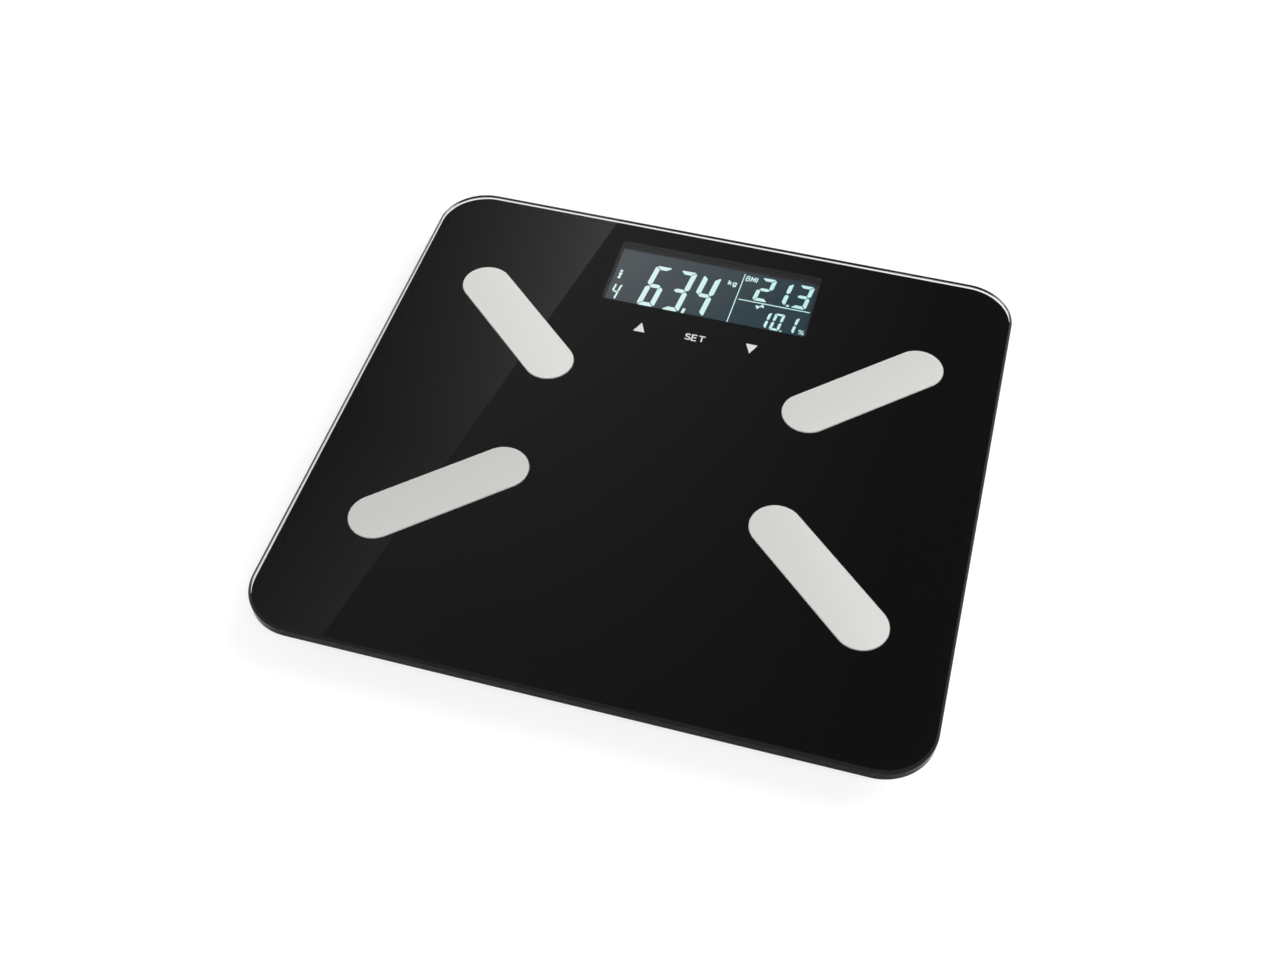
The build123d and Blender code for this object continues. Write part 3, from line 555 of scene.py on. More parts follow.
@dataclass(frozen=True)
class StudioGround(Finish):
    """Pale ground that fades out all round and can't be seen from below; sizes in metres."""

    clear: float = 0.55
    fade: float = 0.75
    grey: float = 0.5
    glow: float = 0.62

    def shade(self, sheet: NodeSheet) -> Node:
        """Add the shader, whose glow shows in the camera and the glass but lights nothing.

        Args:
            sheet: the sheet to add it to.

        Returns:
            The new node.
        """
        across, along, _ = sheet.axes(sheet.place())
        reach = (across * across + along * along).root()
        solid = sheet.ramp((reach - self.clear) * (1 / self.fade), FALL)
        back = Signal(sheet, sheet.add("ShaderNodeNewGeometry", {}).outputs["Backfacing"])
        light = sheet.add("ShaderNodeLightPath", {}).outputs
        camera, mirror, through = [
            Signal(sheet, light[f"Is {kind} Ray"]) for kind in ("Camera", "Glossy", "Transmission")
        ]
        matt = sheet.add("ShaderNodeBsdfDiffuse", {"Color": (self.grey, self.grey, self.grey, 1.0)})
        seen = camera.most(mirror).most(through)
        glow = sheet.add("ShaderNodeEmission", {"Strength": seen * self.glow})
        both = sheet.add("ShaderNodeAddShader", {0: matt.outputs[0], 1: glow.outputs[0]})
        clear = sheet.add("ShaderNodeBsdfTransparent", {})
        share = solid * (1 - back)
        return sheet.add("ShaderNodeMixShader", {0: share, 1: clear.outputs[0], 2: both.outputs[0]})


@dataclass(frozen=True)
class CardLight(Finish):
    """Light of a card that grows to its rear and falls off from its right edge; sizes in metres."""

    front_light: float = 0.34
    back_light: float = 0.42
    back_reach: float = 0.65
    decay: float = 0.27

    def shade(self, sheet: NodeSheet) -> Node:
        """Add the light.

        Args:
            sheet: the sheet to add it to.

        Returns:
            The new node.
        """
        across, along, _ = sheet.axes(sheet.place())
        back = sheet.ramp(along * (1 / self.back_reach) + 1.0)
        fade = across.combine("EXPONENT", across * (1 / self.decay), 0.0)
        strength = (back * self.back_light + self.front_light) * fade
        return sheet.add("ShaderNodeEmission", {"Strength": strength})


class Finishes:
    """Finishes of the pieces made here, and those of the carried nodes by slot of the record."""

    GLASS = ClearGlass("polished_glass")
    BACKED_GLASS = BackedGlass("backed_glass", (0.0026, 0.0026, 0.0028))
    # Side faces: glass with no specular tint and a low IOR, so they barely reflect. This is painted
    # shade that stands in for the dark, shadowed floor the sides mirror.
    EDGE_PAINTED_SHADE = ClearGlass("edge_painted_shade", ior=1.18, smear=0.06, shine=0.0)
    # Chamfer: dark as the ink seen through the glass (real), with a weak gloss whose dimmed
    # reflection is painted shade.
    CHAMFER = PrintInk("dark_chamfer", (0.010, 0.0105, 0.0115), 0.15, 0.12)
    ARRIS = PrintInk("polished_arris", (0.006, 0.0063, 0.007), 0.15, 0.4)
    BLACK_INK = PrintInk("black_ink", (0.0026, 0.0026, 0.0028))
    WHITE_INK = PrintInk("white_ink", (0.80, 0.80, 0.81), 0.03)
    PANEL = Backlit(
        "panel_light", (0.058, 0.069, 0.077), (0.003, 0.024, 0.038), (-46.0, 124.0), (14.0, 84.0)
    )
    SEGMENTS = Backlit(
        "segment_light", (0.80, 1.0, 0.98), (0.58, 0.92, 0.90), (-40.0, 122.0), (44.0, 92.0)
    )
    PANEL_EDGE = GrainedFinish("panel_edge", (0.03, 0.032, 0.035), 0.25, Grain.SKIN, 2.0, 0.01)
    GASKET = GrainedFinish("gasket_foam", (0.004, 0.0042, 0.0048), 0.9, Grain.CELLS, 0.5, 0.12)
    STEEL = (0.91, 0.903, 0.875)
    STEEL_RIM = GrainedFinish(
        "polished_rim", (0.95, 0.95, 0.94), 0.25, Grain.SKIN, 1.0, 0.004, 0.03, 6.0, 0.85
    )
    GRAINED = {
        "plated_steel": (
            "plated_steel", (0.62, 0.62, 0.63), 0.28, Grain.SKIN, 1.2, 0.006, 0.08, 5.0, 1.0,
        ),
        "tray_plastic": ("moulded_black", (0.028, 0.028, 0.031), 0.52),
        "clamp_plastic": ("clamp_grey", (0.10, 0.10, 0.11), 0.5),
        "button_plastic": ("button_grey", (0.42, 0.42, 0.43), 0.45, Grain.SPARK, 0.3, 0.015),
        "bezel_plastic": ("bezel_grey", (0.004, 0.0044, 0.0052), 0.6, Grain.SPARK, 0.3, 0.01),
        "pad_rubber": ("pad_rubber", (0.05, 0.05, 0.052), 0.8, Grain.SPARK, 0.5, 0.03),
        "foam_black": ("tape_foam", (0.02, 0.02, 0.02), 0.9, Grain.CELLS, 0.4, 0.08),
        "foam_conductive": ("conductive_foam", (0.06, 0.06, 0.065), 0.75, Grain.CELLS, 0.6, 0.12),
        "strip_rubber": ("strip_rubber", (0.50, 0.50, 0.46), 0.7, Grain.SKIN, 0.8, 0.02),
        "light_guide": ("light_guide", (0.82, 0.85, 0.87), 0.3, Grain.SKIN, 3.0, 0.02, 0.04),
        "chip_black": ("chip_black", (0.02, 0.02, 0.022), 0.45, Grain.SPARK, 0.2, 0.01),
        "connector_white": (
            "connector_cream", (0.78, 0.76, 0.68), 0.5, Grain.SPARK, 0.35, 0.02, 0.05,
        ),
        "capacitor_sleeve": ("capacitor_sleeve", (0.03, 0.03, 0.09), 0.3, Grain.SKIN, 2.0, 0.01),
        "gauge_white": ("gauge_silicone", (0.80, 0.80, 0.78), 0.55, Grain.SKIN, 1.5, 0.05, 0.06),
        "lead_red": ("lead_red", (0.50, 0.025, 0.025), 0.45, Grain.SKIN, 1.0, 0.01),
        "lead_black": ("lead_black", (0.02, 0.02, 0.02), 0.45, Grain.SKIN, 1.0, 0.01),
        "lead_white": ("lead_white", (0.72, 0.72, 0.70), 0.5, Grain.SKIN, 1.0, 0.01, 0.06),
    }
    BY_SLOT = {slot: GrainedFinish(*values) for slot, values in GRAINED.items()}
    BY_SLOT["black_print"] = PrintInk("film_black", (0.006, 0.006, 0.0065))
    BY_SLOT["board_green"] = CircuitBoard("board_green")
    BY_SLOT["cell_sleeve"] = CellSleeve("cell_sleeve")


def lies_at(item: Union[BMEdge, BMFace], level: float) -> bool:
    """Tell whether the whole of an edge or a face lies at one height."""
    return all(abs(vert.co.z - level) < SAME_PLACE for vert in item.verts)


class Shape:
    """A mesh in the making, which becomes one object; lengths in metres."""

    def __init__(self) -> None:
        """Start with an empty mesh."""
        self.mesh = bmesh.new()

    def move(self, verts: Sequence[BMVert], way: Sequence[float]) -> None:
        """Move vertices."""
        bmesh.ops.translate(self.mesh, vec=way, verts=verts)

    def bevel(self, geom: Sequence, affect: str, radius: float, steps: int) -> list[BMVert]:
        """Round corners or edges.

        Args:
            geom: the vertices or edges to round.
            affect: VERTICES or EDGES.
            radius: radius of the rounding.
            steps: edges or faces across the rounding.

        Returns:
            The new vertices.
        """
        made = bmesh.ops.bevel(
            self.mesh, geom=geom, affect=affect, offset=radius, offset_type="OFFSET",
            segments=steps, profile=0.5, material=-1,
        )
        return made["verts"]

    def plate(self, size: Point, radius: float, steps: int) -> BMFace:
        """Add a flat face with round corners, centred on the origin.

        Args:
            size: width along X and depth along Y.
            radius: radius of its corners.
            steps: edges in the arc of each corner.

        Returns:
            The new face.
        """
        verts = bmesh.ops.create_grid(self.mesh, x_segments=1, y_segments=1, size=0.5)["verts"]
        bmesh.ops.scale(self.mesh, vec=(*size, 1.0), verts=verts)
        return self.bevel(verts, "VERTICES", radius, steps)[0].link_faces[0]

    def raise_faces(self, faces: Sequence[BMFace], height: float) -> None:
        """Thicken flat faces, which become the bottoms of closed solids."""
        made = bmesh.ops.extrude_face_region(self.mesh, geom=list(faces))["geom"]
        self.move([item for item in made if isinstance(item, BMVert)], (0.0, 0.0, height))

    def soften(self, level: float, radius: float, steps: int = 1) -> None:
        """Round the edges that lie at one height, or chamfer them in a single step."""
        edges = [edge for edge in self.mesh.edges if lies_at(edge, level)]
        self.bevel(edges, "EDGES", radius, steps)

    def smooth(self, limit: float) -> None:
        """Shade the shape smooth but for its sharp edges.

        Args:
            limit: how many degrees an edge turns at the least to be sharp.
        """
        for face in self.mesh.faces:
            face.normal_update()
            face.smooth = True
        for edge in self.mesh.edges:
            edge.smooth = edge.calc_face_angle(0.0) < math.radians(limit)

    def to_object(self, name: str, finishes: Sequence[Finish]) -> Object:
        """Turn the shape into an object of the scene and free it.

        Args:
            name: the object's name.
            finishes: its finishes, in the order of its faces' material numbers.

        Returns:
            The object.
        """
        data = bpy.data.meshes.new(name)
        self.mesh.to_mesh(data)
        self.mesh.free()
        for finish in finishes:
            data.materials.append(material_of(finish))
        item = bpy.data.objects.new(name, data)
        bpy.context.scene.collection.objects.link(item)
        return item

    def put_out(
        self, name: str, finishes: Sequence[Finish], slot: str = "", nodes: Sequence[str] = ()
    ) -> Object:
        """Turn the shape into a piece that rides on the platform.

        Args:
            name: the piece's name.
            finishes: its finishes, in the order of its faces' material numbers.
            slot: not used.
            nodes: the CAD nodes that it stands for.

        Returns:
            The piece.
        """
        bmesh.ops.recalc_face_normals(self.mesh, faces=self.mesh.faces)
        piece = self.to_object(name, finishes)
        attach(piece, BODY)
        if nodes:
            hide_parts(*nodes)
        LOG.info("%s: %d faces", name, len(piece.data.polygons))
        return piece


class Marks(Shape):
    """Thin flat marks that lie in one layer; points and radii in millimetres."""

    DOT_STEPS = 20

    def __init__(self, level: float, height: float) -> None:
        """Start with no marks.

        Args:
            level: height of their undersides, in metres.
            height: their thickness, in metres.
        """
        super().__init__()
        self.level = level
        self.height = height

    def add_outline(self, points: Sequence[Point]) -> None:
        """Add a mark with straight sides, given by its corners."""
        verts = [self.mesh.verts.new((x * MM, y * MM, self.level)) for x, y in points]
        self.raise_faces([self.mesh.faces.new(verts)], self.height)

    def add_dot(self, centre: Point, radius: float) -> None:
        """Add a round mark.

        Args:
            centre: its middle.
            radius: its radius.
        """
        verts = bmesh.ops.create_circle(
            self.mesh, cap_ends=True, segments=self.DOT_STEPS, radius=radius * MM
        )["verts"]
        self.move(verts, (centre[0] * MM, centre[1] * MM, self.level))
        self.raise_faces(verts[0].link_faces, self.height)


def ribbon(points: Sequence[Point], width: float) -> list[Point]:
    """Work out the outline of a stroke.

    Args:
        points: the stroke's path.
        width: its width, in the unit of the path.

    Returns:
        The corners of the outline, down one side and back along the other.
    """
    path = [Vector(point) for point in points]
    runs = [(after - before).normalized() for before, after in zip(path, path[1:])]
    sides = []
    for index in range(len(path)):
        after = runs[min(index, len(runs) - 1)]
        bend = (runs[max(index - 1, 0)] + after).normalized()
        sides.append(Vector((-bend.y, bend.x)) * (width / 2 / bend.dot(after)))
    left = [tuple(point + side) for point, side in zip(path, sides)]
    right = [tuple(point - side) for point, side in zip(path, sides)]
    return left + right[::-1]


@dataclass
class Lettering:
    """A short word or sign in plain strokes, fitted to a box; sizes in millimetres.

    Strokes and the gap between letters are in hundredths of a capital's height.
    """

    text: str
    centre: Point
    size: Point
    stroke: float
    slant: float = 0.0
    gap: float = 30.0

    RING = ((16, 100), (4, 93), (0, 78), (4, 63), (16, 56), (28, 63), (32, 78), (28, 93), (16, 100))
    LETTERS = {
        "B": (
            ((0, 0), (0, 100)),
            ((0, 100), (36, 100), (52, 93), (56, 77), (50, 60), (34, 53), (0, 53)),
            ((34, 53), (54, 45), (60, 27), (54, 8), (36, 0), (0, 0)),
        ),
        "E": (((56, 100), (0, 100), (0, 0), (56, 0)), ((0, 52), (50, 52))),
        "I": (((0, 0), (0, 100)),),
        "M": (((0, 0), (0, 100)), ((0, 100), (36, 30), (72, 100)), ((72, 100), (72, 0))),
        "S": (
            (
                (54, 84), (46, 95), (30, 100), (13, 96), (4, 84), (5, 70), (15, 58), (43, 45),
                (55, 33), (57, 19), (47, 5), (29, 0), (11, 5), (0, 17),
            ),
        ),
        "T": (((0, 100), (76, 100)), ((38, 100), (38, 0))),
        "g": (
            ((50, 68), (50, -10), (43, -24), (26, -30), (4, -25)),
            (
                (50, 54), (40, 65), (25, 68), (10, 62), (2, 48), (0, 34), (2, 20), (10, 6), (25, 0),
                (40, 3), (50, 14),
            ),
        ),
        "k": (((0, 0), (0, 100)), ((46, 68), (0, 26)), ((17, 41), (50, 0))),
        "%": (((14, 0), (66, 100)), RING, tuple((x + 48, y - 56) for x, y in RING)),
    }

    def outlines(self) -> list[list[Point]]:
        """Set the letters side by side and fit them to the box.

        Returns:
            The outline of each stroke.
        """
        paths, reach = [], 0.0
        for letter in self.text:
            strokes = self.LETTERS[letter]
            paths += [[(x + reach, y) for x, y in stroke] for stroke in strokes]
            reach += max(x for stroke in strokes for x, _ in stroke) + self.gap
        spots = [spot for path in paths for spot in path]
        spans = [(min(values), max(values)) for values in zip(*spots)]
        lean = math.tan(math.radians(self.slant))
        fitted = []
        for path in paths:
            line = []
            for spot in path:
                across, up = [
                    ((value - low) / (high - low) - 0.5) * (side - self.stroke)
                    for value, (low, high), side in zip(spot, spans, self.size)
                ]
                line.append((self.centre[0] + across + up * lean, self.centre[1] + up))
            fitted.append(ribbon(line, self.stroke))
        return fitted


@dataclass
class GlassPlatform:
    """The glass plate with the ink on its underside and the key marks in the ink."""

    corner_radius: float = 24.0
    corner_steps: int = 28
    top_chamfer: float = 1.2
    bottom_chamfer: float = 0.5
    arris: float = 0.2
    smooth_limit: float = 12.0
    ink_inset: float = 0.85
    ink_gap: float = 0.02
    window: Point = (105.3, 43.5)
    window_radius: float = 1.5
    window_inset: float = 13.3
    stud_hole: float = 4.0
    hole_steps: int = 24
    clear_edge: float = 6.3
    clear_reach: float = 5.6
    zone_steps: int = 8
    key_height: float = 71.6
    key_spacing: float = 28.05
    key_shift: float = 0.25
    arrow: Point = (5.8, 6.3)
    word: Point = (10.6, 4.5)
    word_stroke: float = 0.75
    word_gap: float = 24.0
    mark_gap: float = 0.02
    mark_thickness: float = 0.02

    FINISHES = {
        PlateFace.CLEAR: Finishes.GLASS,
        PlateFace.INK: Finishes.BLACK_INK,
        PlateFace.SIDE: Finishes.EDGE_PAINTED_SHADE,
        PlateFace.CHAMFER: Finishes.CHAMFER,
        PlateFace.ARRIS: Finishes.ARRIS,
        PlateFace.BACKED: Finishes.BACKED_GLASS,
    }
    UP_TO = {PlateFace.SIDE: 0.1, PlateFace.CHAMFER: 0.8, PlateFace.ARRIS: 0.99}

    def __post_init__(self) -> None:
        """Read the plate's box from the frame and start its shape."""
        self.low, self.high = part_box("glass_platform")
        self.bottom = self.low.z + self.ink_gap * MM
        self.window_far = self.high.y / MM - self.window_inset
        self.shape = Shape()

    def build(self) -> None:
        """Make the plate and the marks."""
        self._raise_plate()
        self._fill_faces()
        self.shape.smooth(self.smooth_limit)
        finishes = [self.FINISHES[face] for face in PlateFace]
        piece = self.shape.put_out("glass_plate", finishes, "clear_glass", ("glass_platform",))
        piece.visible_shadow = False
        self._make_marks()

    def _raise_plate(self) -> None:
        """Make the plate with its chamfers and with the border of the ink on its underside."""
        shape = self.shape
        size = self.high - self.low
        face = shape.plate((size.x, size.y), self.corner_radius * MM, self.corner_steps)
        shape.move(face.verts, (0.0, 0.0, self.bottom))
        shape.raise_faces([face], self.high.z - self.bottom)
        shape.soften(self.high.z, self.top_chamfer * MM)
        shape.soften(self.high.z, self.arris * MM)
        shape.soften(self.bottom, self.bottom_chamfer * MM)
        for item in shape.mesh.faces:
            item.normal_update()
            item.material_index = self._number(item.normal.z)
        ring = (self.ink_inset - self.bottom_chamfer) * MM
        under = self._flat_face(self.bottom)
        bmesh.ops.inset_region(shape.mesh, faces=[under], thickness=ring, use_even_offset=True)

    def _fill_faces(self) -> None:
        """Drill the stud holes and fill the underside and the top round them.

        The underside is inked but for the window. The top is clear at the rim and over the display
        and the keys, and backed by the ink in between.
        """
        top = self.high.z
        rims = {level: self._open(self._flat_face(level)) for level in (self.bottom, top)}
        holes = {level: [] for level in rims}
        for corner in Corner:
            self._drill(corner, holes)
        pane = self._lay(self.window, self.window_radius, self.window_far, self.bottom)
        self._fill([*rims[self.bottom], *holes[self.bottom], *pane.edges], PlateFace.INK)
        size = self.high - self.low
        inner = (size.x / MM - 2 * self.clear_edge, size.y / MM - 2 * self.clear_edge)
        radius = self.corner_radius - self.clear_edge
        border = self._open(self._lay(inner, radius, self.high.y / MM - self.clear_edge, top))
        self._fill([*rims[top], *border], PlateFace.CLEAR)
        depth = self.window_far - self.key_height + self.arrow[1] / 2
        view = (self.window[0] + 2 * self.clear_reach, depth + 2 * self.clear_reach)
        clear = self._lay(view, self.clear_reach, self.window_far + self.clear_reach, top)
        self._fill([*border, *holes[top], *clear.edges], PlateFace.BACKED)

    def _lay(self, size: Point, radius: float, far: float, level: float) -> BMFace:
        """Lay a flat face with round corners into the plate.

        Args:
            size: width and depth of the face, in millimetres.
            radius: radius of its corners, in millimetres.
            far: where its far side lies along Y, in millimetres.
            level: its height, in metres.

        Returns:
            The face.
        """
        face = self.shape.plate((size[0] * MM, size[1] * MM), radius * MM, self.zone_steps)
        self.shape.move(face.verts, (0.0, (far - size[1] / 2) * MM, level))
        return face

    def _fill(self, edges: Sequence[BMEdge], number: PlateFace) -> None:
        """Fill the space between loops of edges.

        Args:
            edges: the loops, of which the inner ones are left open.
            number: the material number of the new faces.
        """
        for item in bmesh.ops.triangle_fill(self.shape.mesh, use_beauty=True, edges=edges)["geom"]:
            if isinstance(item, BMFace):
                item.material_index = number

    def _number(self, up: float) -> PlateFace:
        """Tell the side, the chamfer, its arris and the clear faces by how far they face up."""
        low = -self.UP_TO[PlateFace.SIDE]
        return next((face for face, top in self.UP_TO.items() if low < up < top), PlateFace.CLEAR)

    def _flat_face(self, level: float) -> BMFace:
        """Find the big flat face at one height."""
        flat = [face for face in self.shape.mesh.faces if lies_at(face, level)]
        return max(flat, key=lambda item: item.calc_area())

    def _open(self, face: BMFace) -> list[BMEdge]:
        """Take a face out.

        Args:
            face: the face.

        Returns:
            The edges round it.
        """
        edges = list(face.edges)
        bmesh.ops.delete(self.shape.mesh, geom=[face], context="FACES_ONLY")
        return edges

    def _drill(self, corner: Corner, rims: dict[float, list[BMEdge]]) -> None:
        """Add the wall of a stud hole and its two rims.

        Args:
            corner: the electrode that the stud belongs to.
            rims: edges at each height, which gain the hole's rims.
        """
        low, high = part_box(f"electrode_{corner.label}")
        mesh, loops = self.shape.mesh, []
        for level in rims:
            radius = self.stud_hole / 2 * MM
            verts = bmesh.ops.create_circle(mesh, segments=self.hole_steps, radius=radius)["verts"]
            self.shape.move(verts, ((low.x + high.x) / 2, (low.y + high.y) / 2, level))
            edges = list({edge for vert in verts for edge in vert.link_edges})
            loops += edges
            rims[level] += edges
        bmesh.ops.bridge_loops(mesh, edges=loops)

    def _make_marks(self) -> None:
        """Make the three key marks, which lie in the ink under the glass."""
        half_width, half_height = self.arrow[0] / 2, self.arrow[1] / 2
        marks = {}
        for name, side in {"up": -1, "down": 1}.items():
            middle = side * self.key_spacing + self.key_shift
            foot, tip = self.key_height + side * half_height, self.key_height - side * half_height
            left, right = middle - half_width, middle + half_width
            marks[name] = [((left, foot), (right, foot), (middle, tip))]
        centre = (self.key_shift, self.key_height)
        word = Lettering("SET", centre, self.word, self.word_stroke, gap=self.word_gap)
        marks["set"] = word.outlines()
        for name, outlines in marks.items():
            mark = Marks(self.bottom + self.mark_gap * MM, self.mark_thickness * MM)
            for points in outlines:
                mark.add_outline(points)
            mark.put_out(f"key_mark_{name}", (Finishes.WHITE_INK,))


@dataclass
class Electrodes:
    """The four steel plates that the feet stand on."""

    width: float = 24.6
    span: float = 62.1
    angle: float = 42.5
    end_steps: int = 32
    edge_round: float = 0.3
    edge_steps: int = 4
    smooth_limit: float = 25.0
    flat_slope: float = 0.999

    # Painted light and shade: each corner's steel colour is made lighter or darker to stand in for
    # how the lamps fall on that plate.
    PAINTED_LIGHT_AND_SHADE = {
        Corner.FRONT_LEFT: 0.91,
        Corner.FRONT_RIGHT: 1.01,
        Corner.REAR_LEFT: 1.09,
        Corner.REAR_RIGHT: 0.99,
    }

    def build(self) -> None:
        """Make the plates in an X pattern."""
        for corner in Corner:
            self._make_plate(corner)

    def _make_plate(self, corner: Corner) -> None:
        """Make one plate, with a brushed face and a polished rim.

        Args:
            corner: where the plate lies.
        """
        node = f"electrode_{corner.label}"
        low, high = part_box(node)
        turn = corner.value[0] * corner.value[1] * self.angle
        shape = Shape()
        mesh = shape.mesh
        length, width = (self.span + self.width) * MM, self.width * MM
        shape.raise_faces([shape.plate((length, width), width / 2, self.end_steps)], high.z - low.z)
        bmesh.ops.remove_doubles(mesh, verts=mesh.verts, dist=SAME_PLACE)
        shape.soften(high.z - low.z, self.edge_round * MM, self.edge_steps)
        shape.smooth(self.smooth_limit)
        for item in mesh.faces:
            item.material_index = 0 if abs(item.normal.z) > self.flat_slope else 1
        spin = Matrix.Rotation(math.radians(turn), 3, "Z")
        bmesh.ops.rotate(mesh, cent=(0.0, 0.0, 0.0), matrix=spin, verts=mesh.verts)
        shape.move(mesh.verts, ((low.x + high.x) / 2, (low.y + high.y) / 2, low.z))
        # Lighter or darker copy of the steel for this corner: painted light and shade.
        colour = scaled(Finishes.STEEL, self.PAINTED_LIGHT_AND_SHADE[corner])
        steel = BrushedSteel(f"satin_steel_painted_light_{corner.label}", colour, turn)
        name = f"steel_plate_{corner.label}"
        shape.put_out(name, (steel, Finishes.STEEL_RIM), "electrode_steel", (node,))


@dataclass
class Figure:
    """A row of seven-segment digits that lean a little."""

    name: str
    text: str
    starts: Sequence[float]
    foot: float
    size: Point
    stroke: float
    point: Point = (0.0, 0.0)
    point_size: Point = (0.0, 0.0)
    gap: float = 0.3
    slant: float = 6.1
    blunt: float = 0.4

    PATTERNS = {"0": "abcdef", "1": "bc", "2": "abged", "3": "abgcd", "4": "fgbc", "6": "afgedc"}

    def _segments(self) -> dict[str, Sequence[Point]]:
        """Work out the seven outlines of one upright digit.

        Returns:
            The corners of each segment, by its usual letter.
        """
        width, height = self.size
        stroke, gap = self.stroke, self.gap
        middle, half, trim = height / 2, stroke / 2, stroke * self.blunt
        upright = (
            (0.0, height - gap - trim), (trim / 2, height - gap - trim / 2),
            (stroke, height - stroke - gap), (stroke, middle + half + gap),
            (half, middle + gap), (0.0, middle + half + gap),
        )
        bar = (
            (gap + trim / 2, height - trim / 2), (gap + trim, height),
            (width - gap - trim, height), (width - gap - trim / 2, height - trim / 2),
            (width - stroke - gap, height - stroke), (stroke + gap, height - stroke),
        )
        waist = (
            (half + gap, middle), (stroke + gap, middle + half),
            (width - stroke - gap, middle + half), (width - half - gap, middle),
            (width - stroke - gap, middle - half), (stroke + gap, middle - half),
        )
        return {
            "a": bar,
            "b": [(width - x, y) for x, y in upright],
            "c": [(width - x, height - y) for x, y in upright],
            "d": [(x, height - y) for x, y in bar],
            "e": [(x, height - y) for x, y in upright],
            "f": upright,
            "g": waist,
        }

    def outlines(self) -> list[list[Point]]:
        """Set the lit segments of all digits and the decimal point in their places.

        Returns:
            The corners of each.
        """
        segments = self._segments()
        shapes = [
            (start, self.foot, segments[letter])
            for digit, start in zip(self.text, self.starts)
            for letter in self.PATTERNS[digit]
        ]
        if any(self.point_size):
            wide, tall = self.point_size
            shapes.append((*self.point, ((0.0, 0.0), (wide, 0.0), (wide, tall), (0.0, tall))))
        lean = math.tan(math.radians(self.slant))
        return [
            [(left + x + y * lean, foot + y) for x, y in corners] for left, foot, corners in shapes
        ]


@dataclass
class Display:
    """The lit panel and everything that it shows."""

    lit_across: Point = (-52.1, 52.2)
    lit_along: Point = (88.0, 127.4)
    edge_round: float = 0.25
    edge_steps: int = 3
    top_margin: float = 1e-3
    segment_lift: float = 0.01
    segment_thickness: float = 0.04
    upright_line: tuple[Point, Point] = ((13.45, 126.0), (12.1, 88.6))
    upright_width: float = 0.5
    level_line: tuple[Point, Point] = ((14.1, 107.2), (51.1, 107.2))
    level_width: float = 0.65
    head: Point = (-48.6, 111.1)
    head_radius: float = 0.8
    bone_ends: tuple[Point, Point] = ((24.5, 104.1), (27.1, 105.4))
    bone_radius: float = 0.68
    bone_width: float = 0.9
    knob_spread: float = 1.6

    FIGURES = (
        Figure(
            "weight_digits", "634", (-35.3, -22.4, -9.7), 89.9, (9.1, 29.9), 2.6,
            (-11.8, 89.9), (1.5, 3.4),
        ),
        Figure(
            "index_digits", "213", (20.7, 29.6, 40.4), 108.5, (8.0, 17.2), 2.1,
            (38.4, 108.4), (1.4, 1.3),
        ),
        Figure(
            "share_digits", "101", (26.5, 33.3, 40.7), 90.3, (5.15, 12.1), 1.45,
            (39.0, 90.2), (0.9, 0.9), 0.22,
        ),
        Figure("memory_digit", "4", (-50.3,), 90.1, (3.75, 11.5), 1.0, gap=0.12),
    )
    WORDS = (
        Lettering("kg", (8.6, 117.2), (4.6, 4.7), 0.66, 4.0, 32.0),
        Lettering("BMI", (17.6, 123.0), (6.2, 4.1), 0.6, 4.0, 34.0),
        Lettering("%", (49.6, 92.5), (3.3, 3.4), 0.44, 4.0),
    )
    TORSO = ((-0.8, -1.3), (-0.9, -2.1), (-0.4, -3.0), (-0.95, -5.6), (0.65, -5.6), (0.45, -3.0))
    TORSO += ((0.95, -2.1), (0.9, -1.3))

    def build(self) -> None:
        """Make the panel, its figures, its lines and its small signs."""
        low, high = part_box("lcd_panel")
        self._make_panel(low, high)
        outlines = {figure.name: figure.outlines() for figure in self.FIGURES}
        outlines["divider_lines"] = [
            ribbon(self.upright_line, self.upright_width),
            ribbon(self.level_line, self.level_width),
        ]
        outlines["unit_words"] = [points for word in self.WORDS for points in word.outlines()]
        outlines["person_sign"] = [[(self.head[0] + x, self.head[1] + y) for x, y in self.TORSO]]
        outlines["bone_sign"] = [ribbon(self.bone_ends, self.bone_width)]
        knobs = ribbon(self.bone_ends, self.bone_radius * self.knob_spread)
        dots = {
            "person_sign": ((self.head,), self.head_radius),
            "bone_sign": (knobs, self.bone_radius),
        }
        for name, shapes in outlines.items():
            marks = Marks(high.z + self.segment_lift * MM, self.segment_thickness * MM)
            for points in shapes:
                marks.add_outline(points)
            centres, radius = dots.get(name, ((), 0.0))
            for centre in centres:
                marks.add_dot(centre, radius)
            marks.put_out(name, (Finishes.SEGMENTS,), "segment_panel")

    def _make_panel(self, low: Vector, high: Vector) -> None:
        """Make the panel, with a lit face inside a dark border.

        Args:
            low: lowest corner of the panel's box.
            high: its highest corner.
        """
        shape = Shape()
        face = shape.plate((high.x - low.x, high.y - low.y), self.edge_round * MM, self.edge_steps)
        shape.move(face.verts, (0.0, (low.y + high.y) / 2, low.z))
        shape.raise_faces([face], high.z - low.z)
        mesh = shape.mesh
        borders = {(1.0, 0.0, 0.0): self.lit_across, (0.0, 1.0, 0.0): self.lit_along}
        for normal, reaches in borders.items():
            for reach in reaches:
                everything = [*mesh.verts, *mesh.edges, *mesh.faces]
                spot = Vector(normal) * reach * MM
                bmesh.ops.bisect_plane(mesh, geom=everything, plane_co=spot, plane_no=normal)
        for item in mesh.faces:
            middle = item.calc_center_median() / MM
            lit = [
                low_side < place < high_side
                for place, (low_side, high_side) in zip(middle, (self.lit_across, self.lit_along))
            ]
            on_top = middle.z > high.z / MM - self.top_margin
            item.material_index = 1 if all(lit) and on_top else 0
        finishes = (Finishes.PANEL_EDGE, Finishes.PANEL)
        shape.put_out("panel_face", finishes, "segment_panel", ("lcd_panel",))


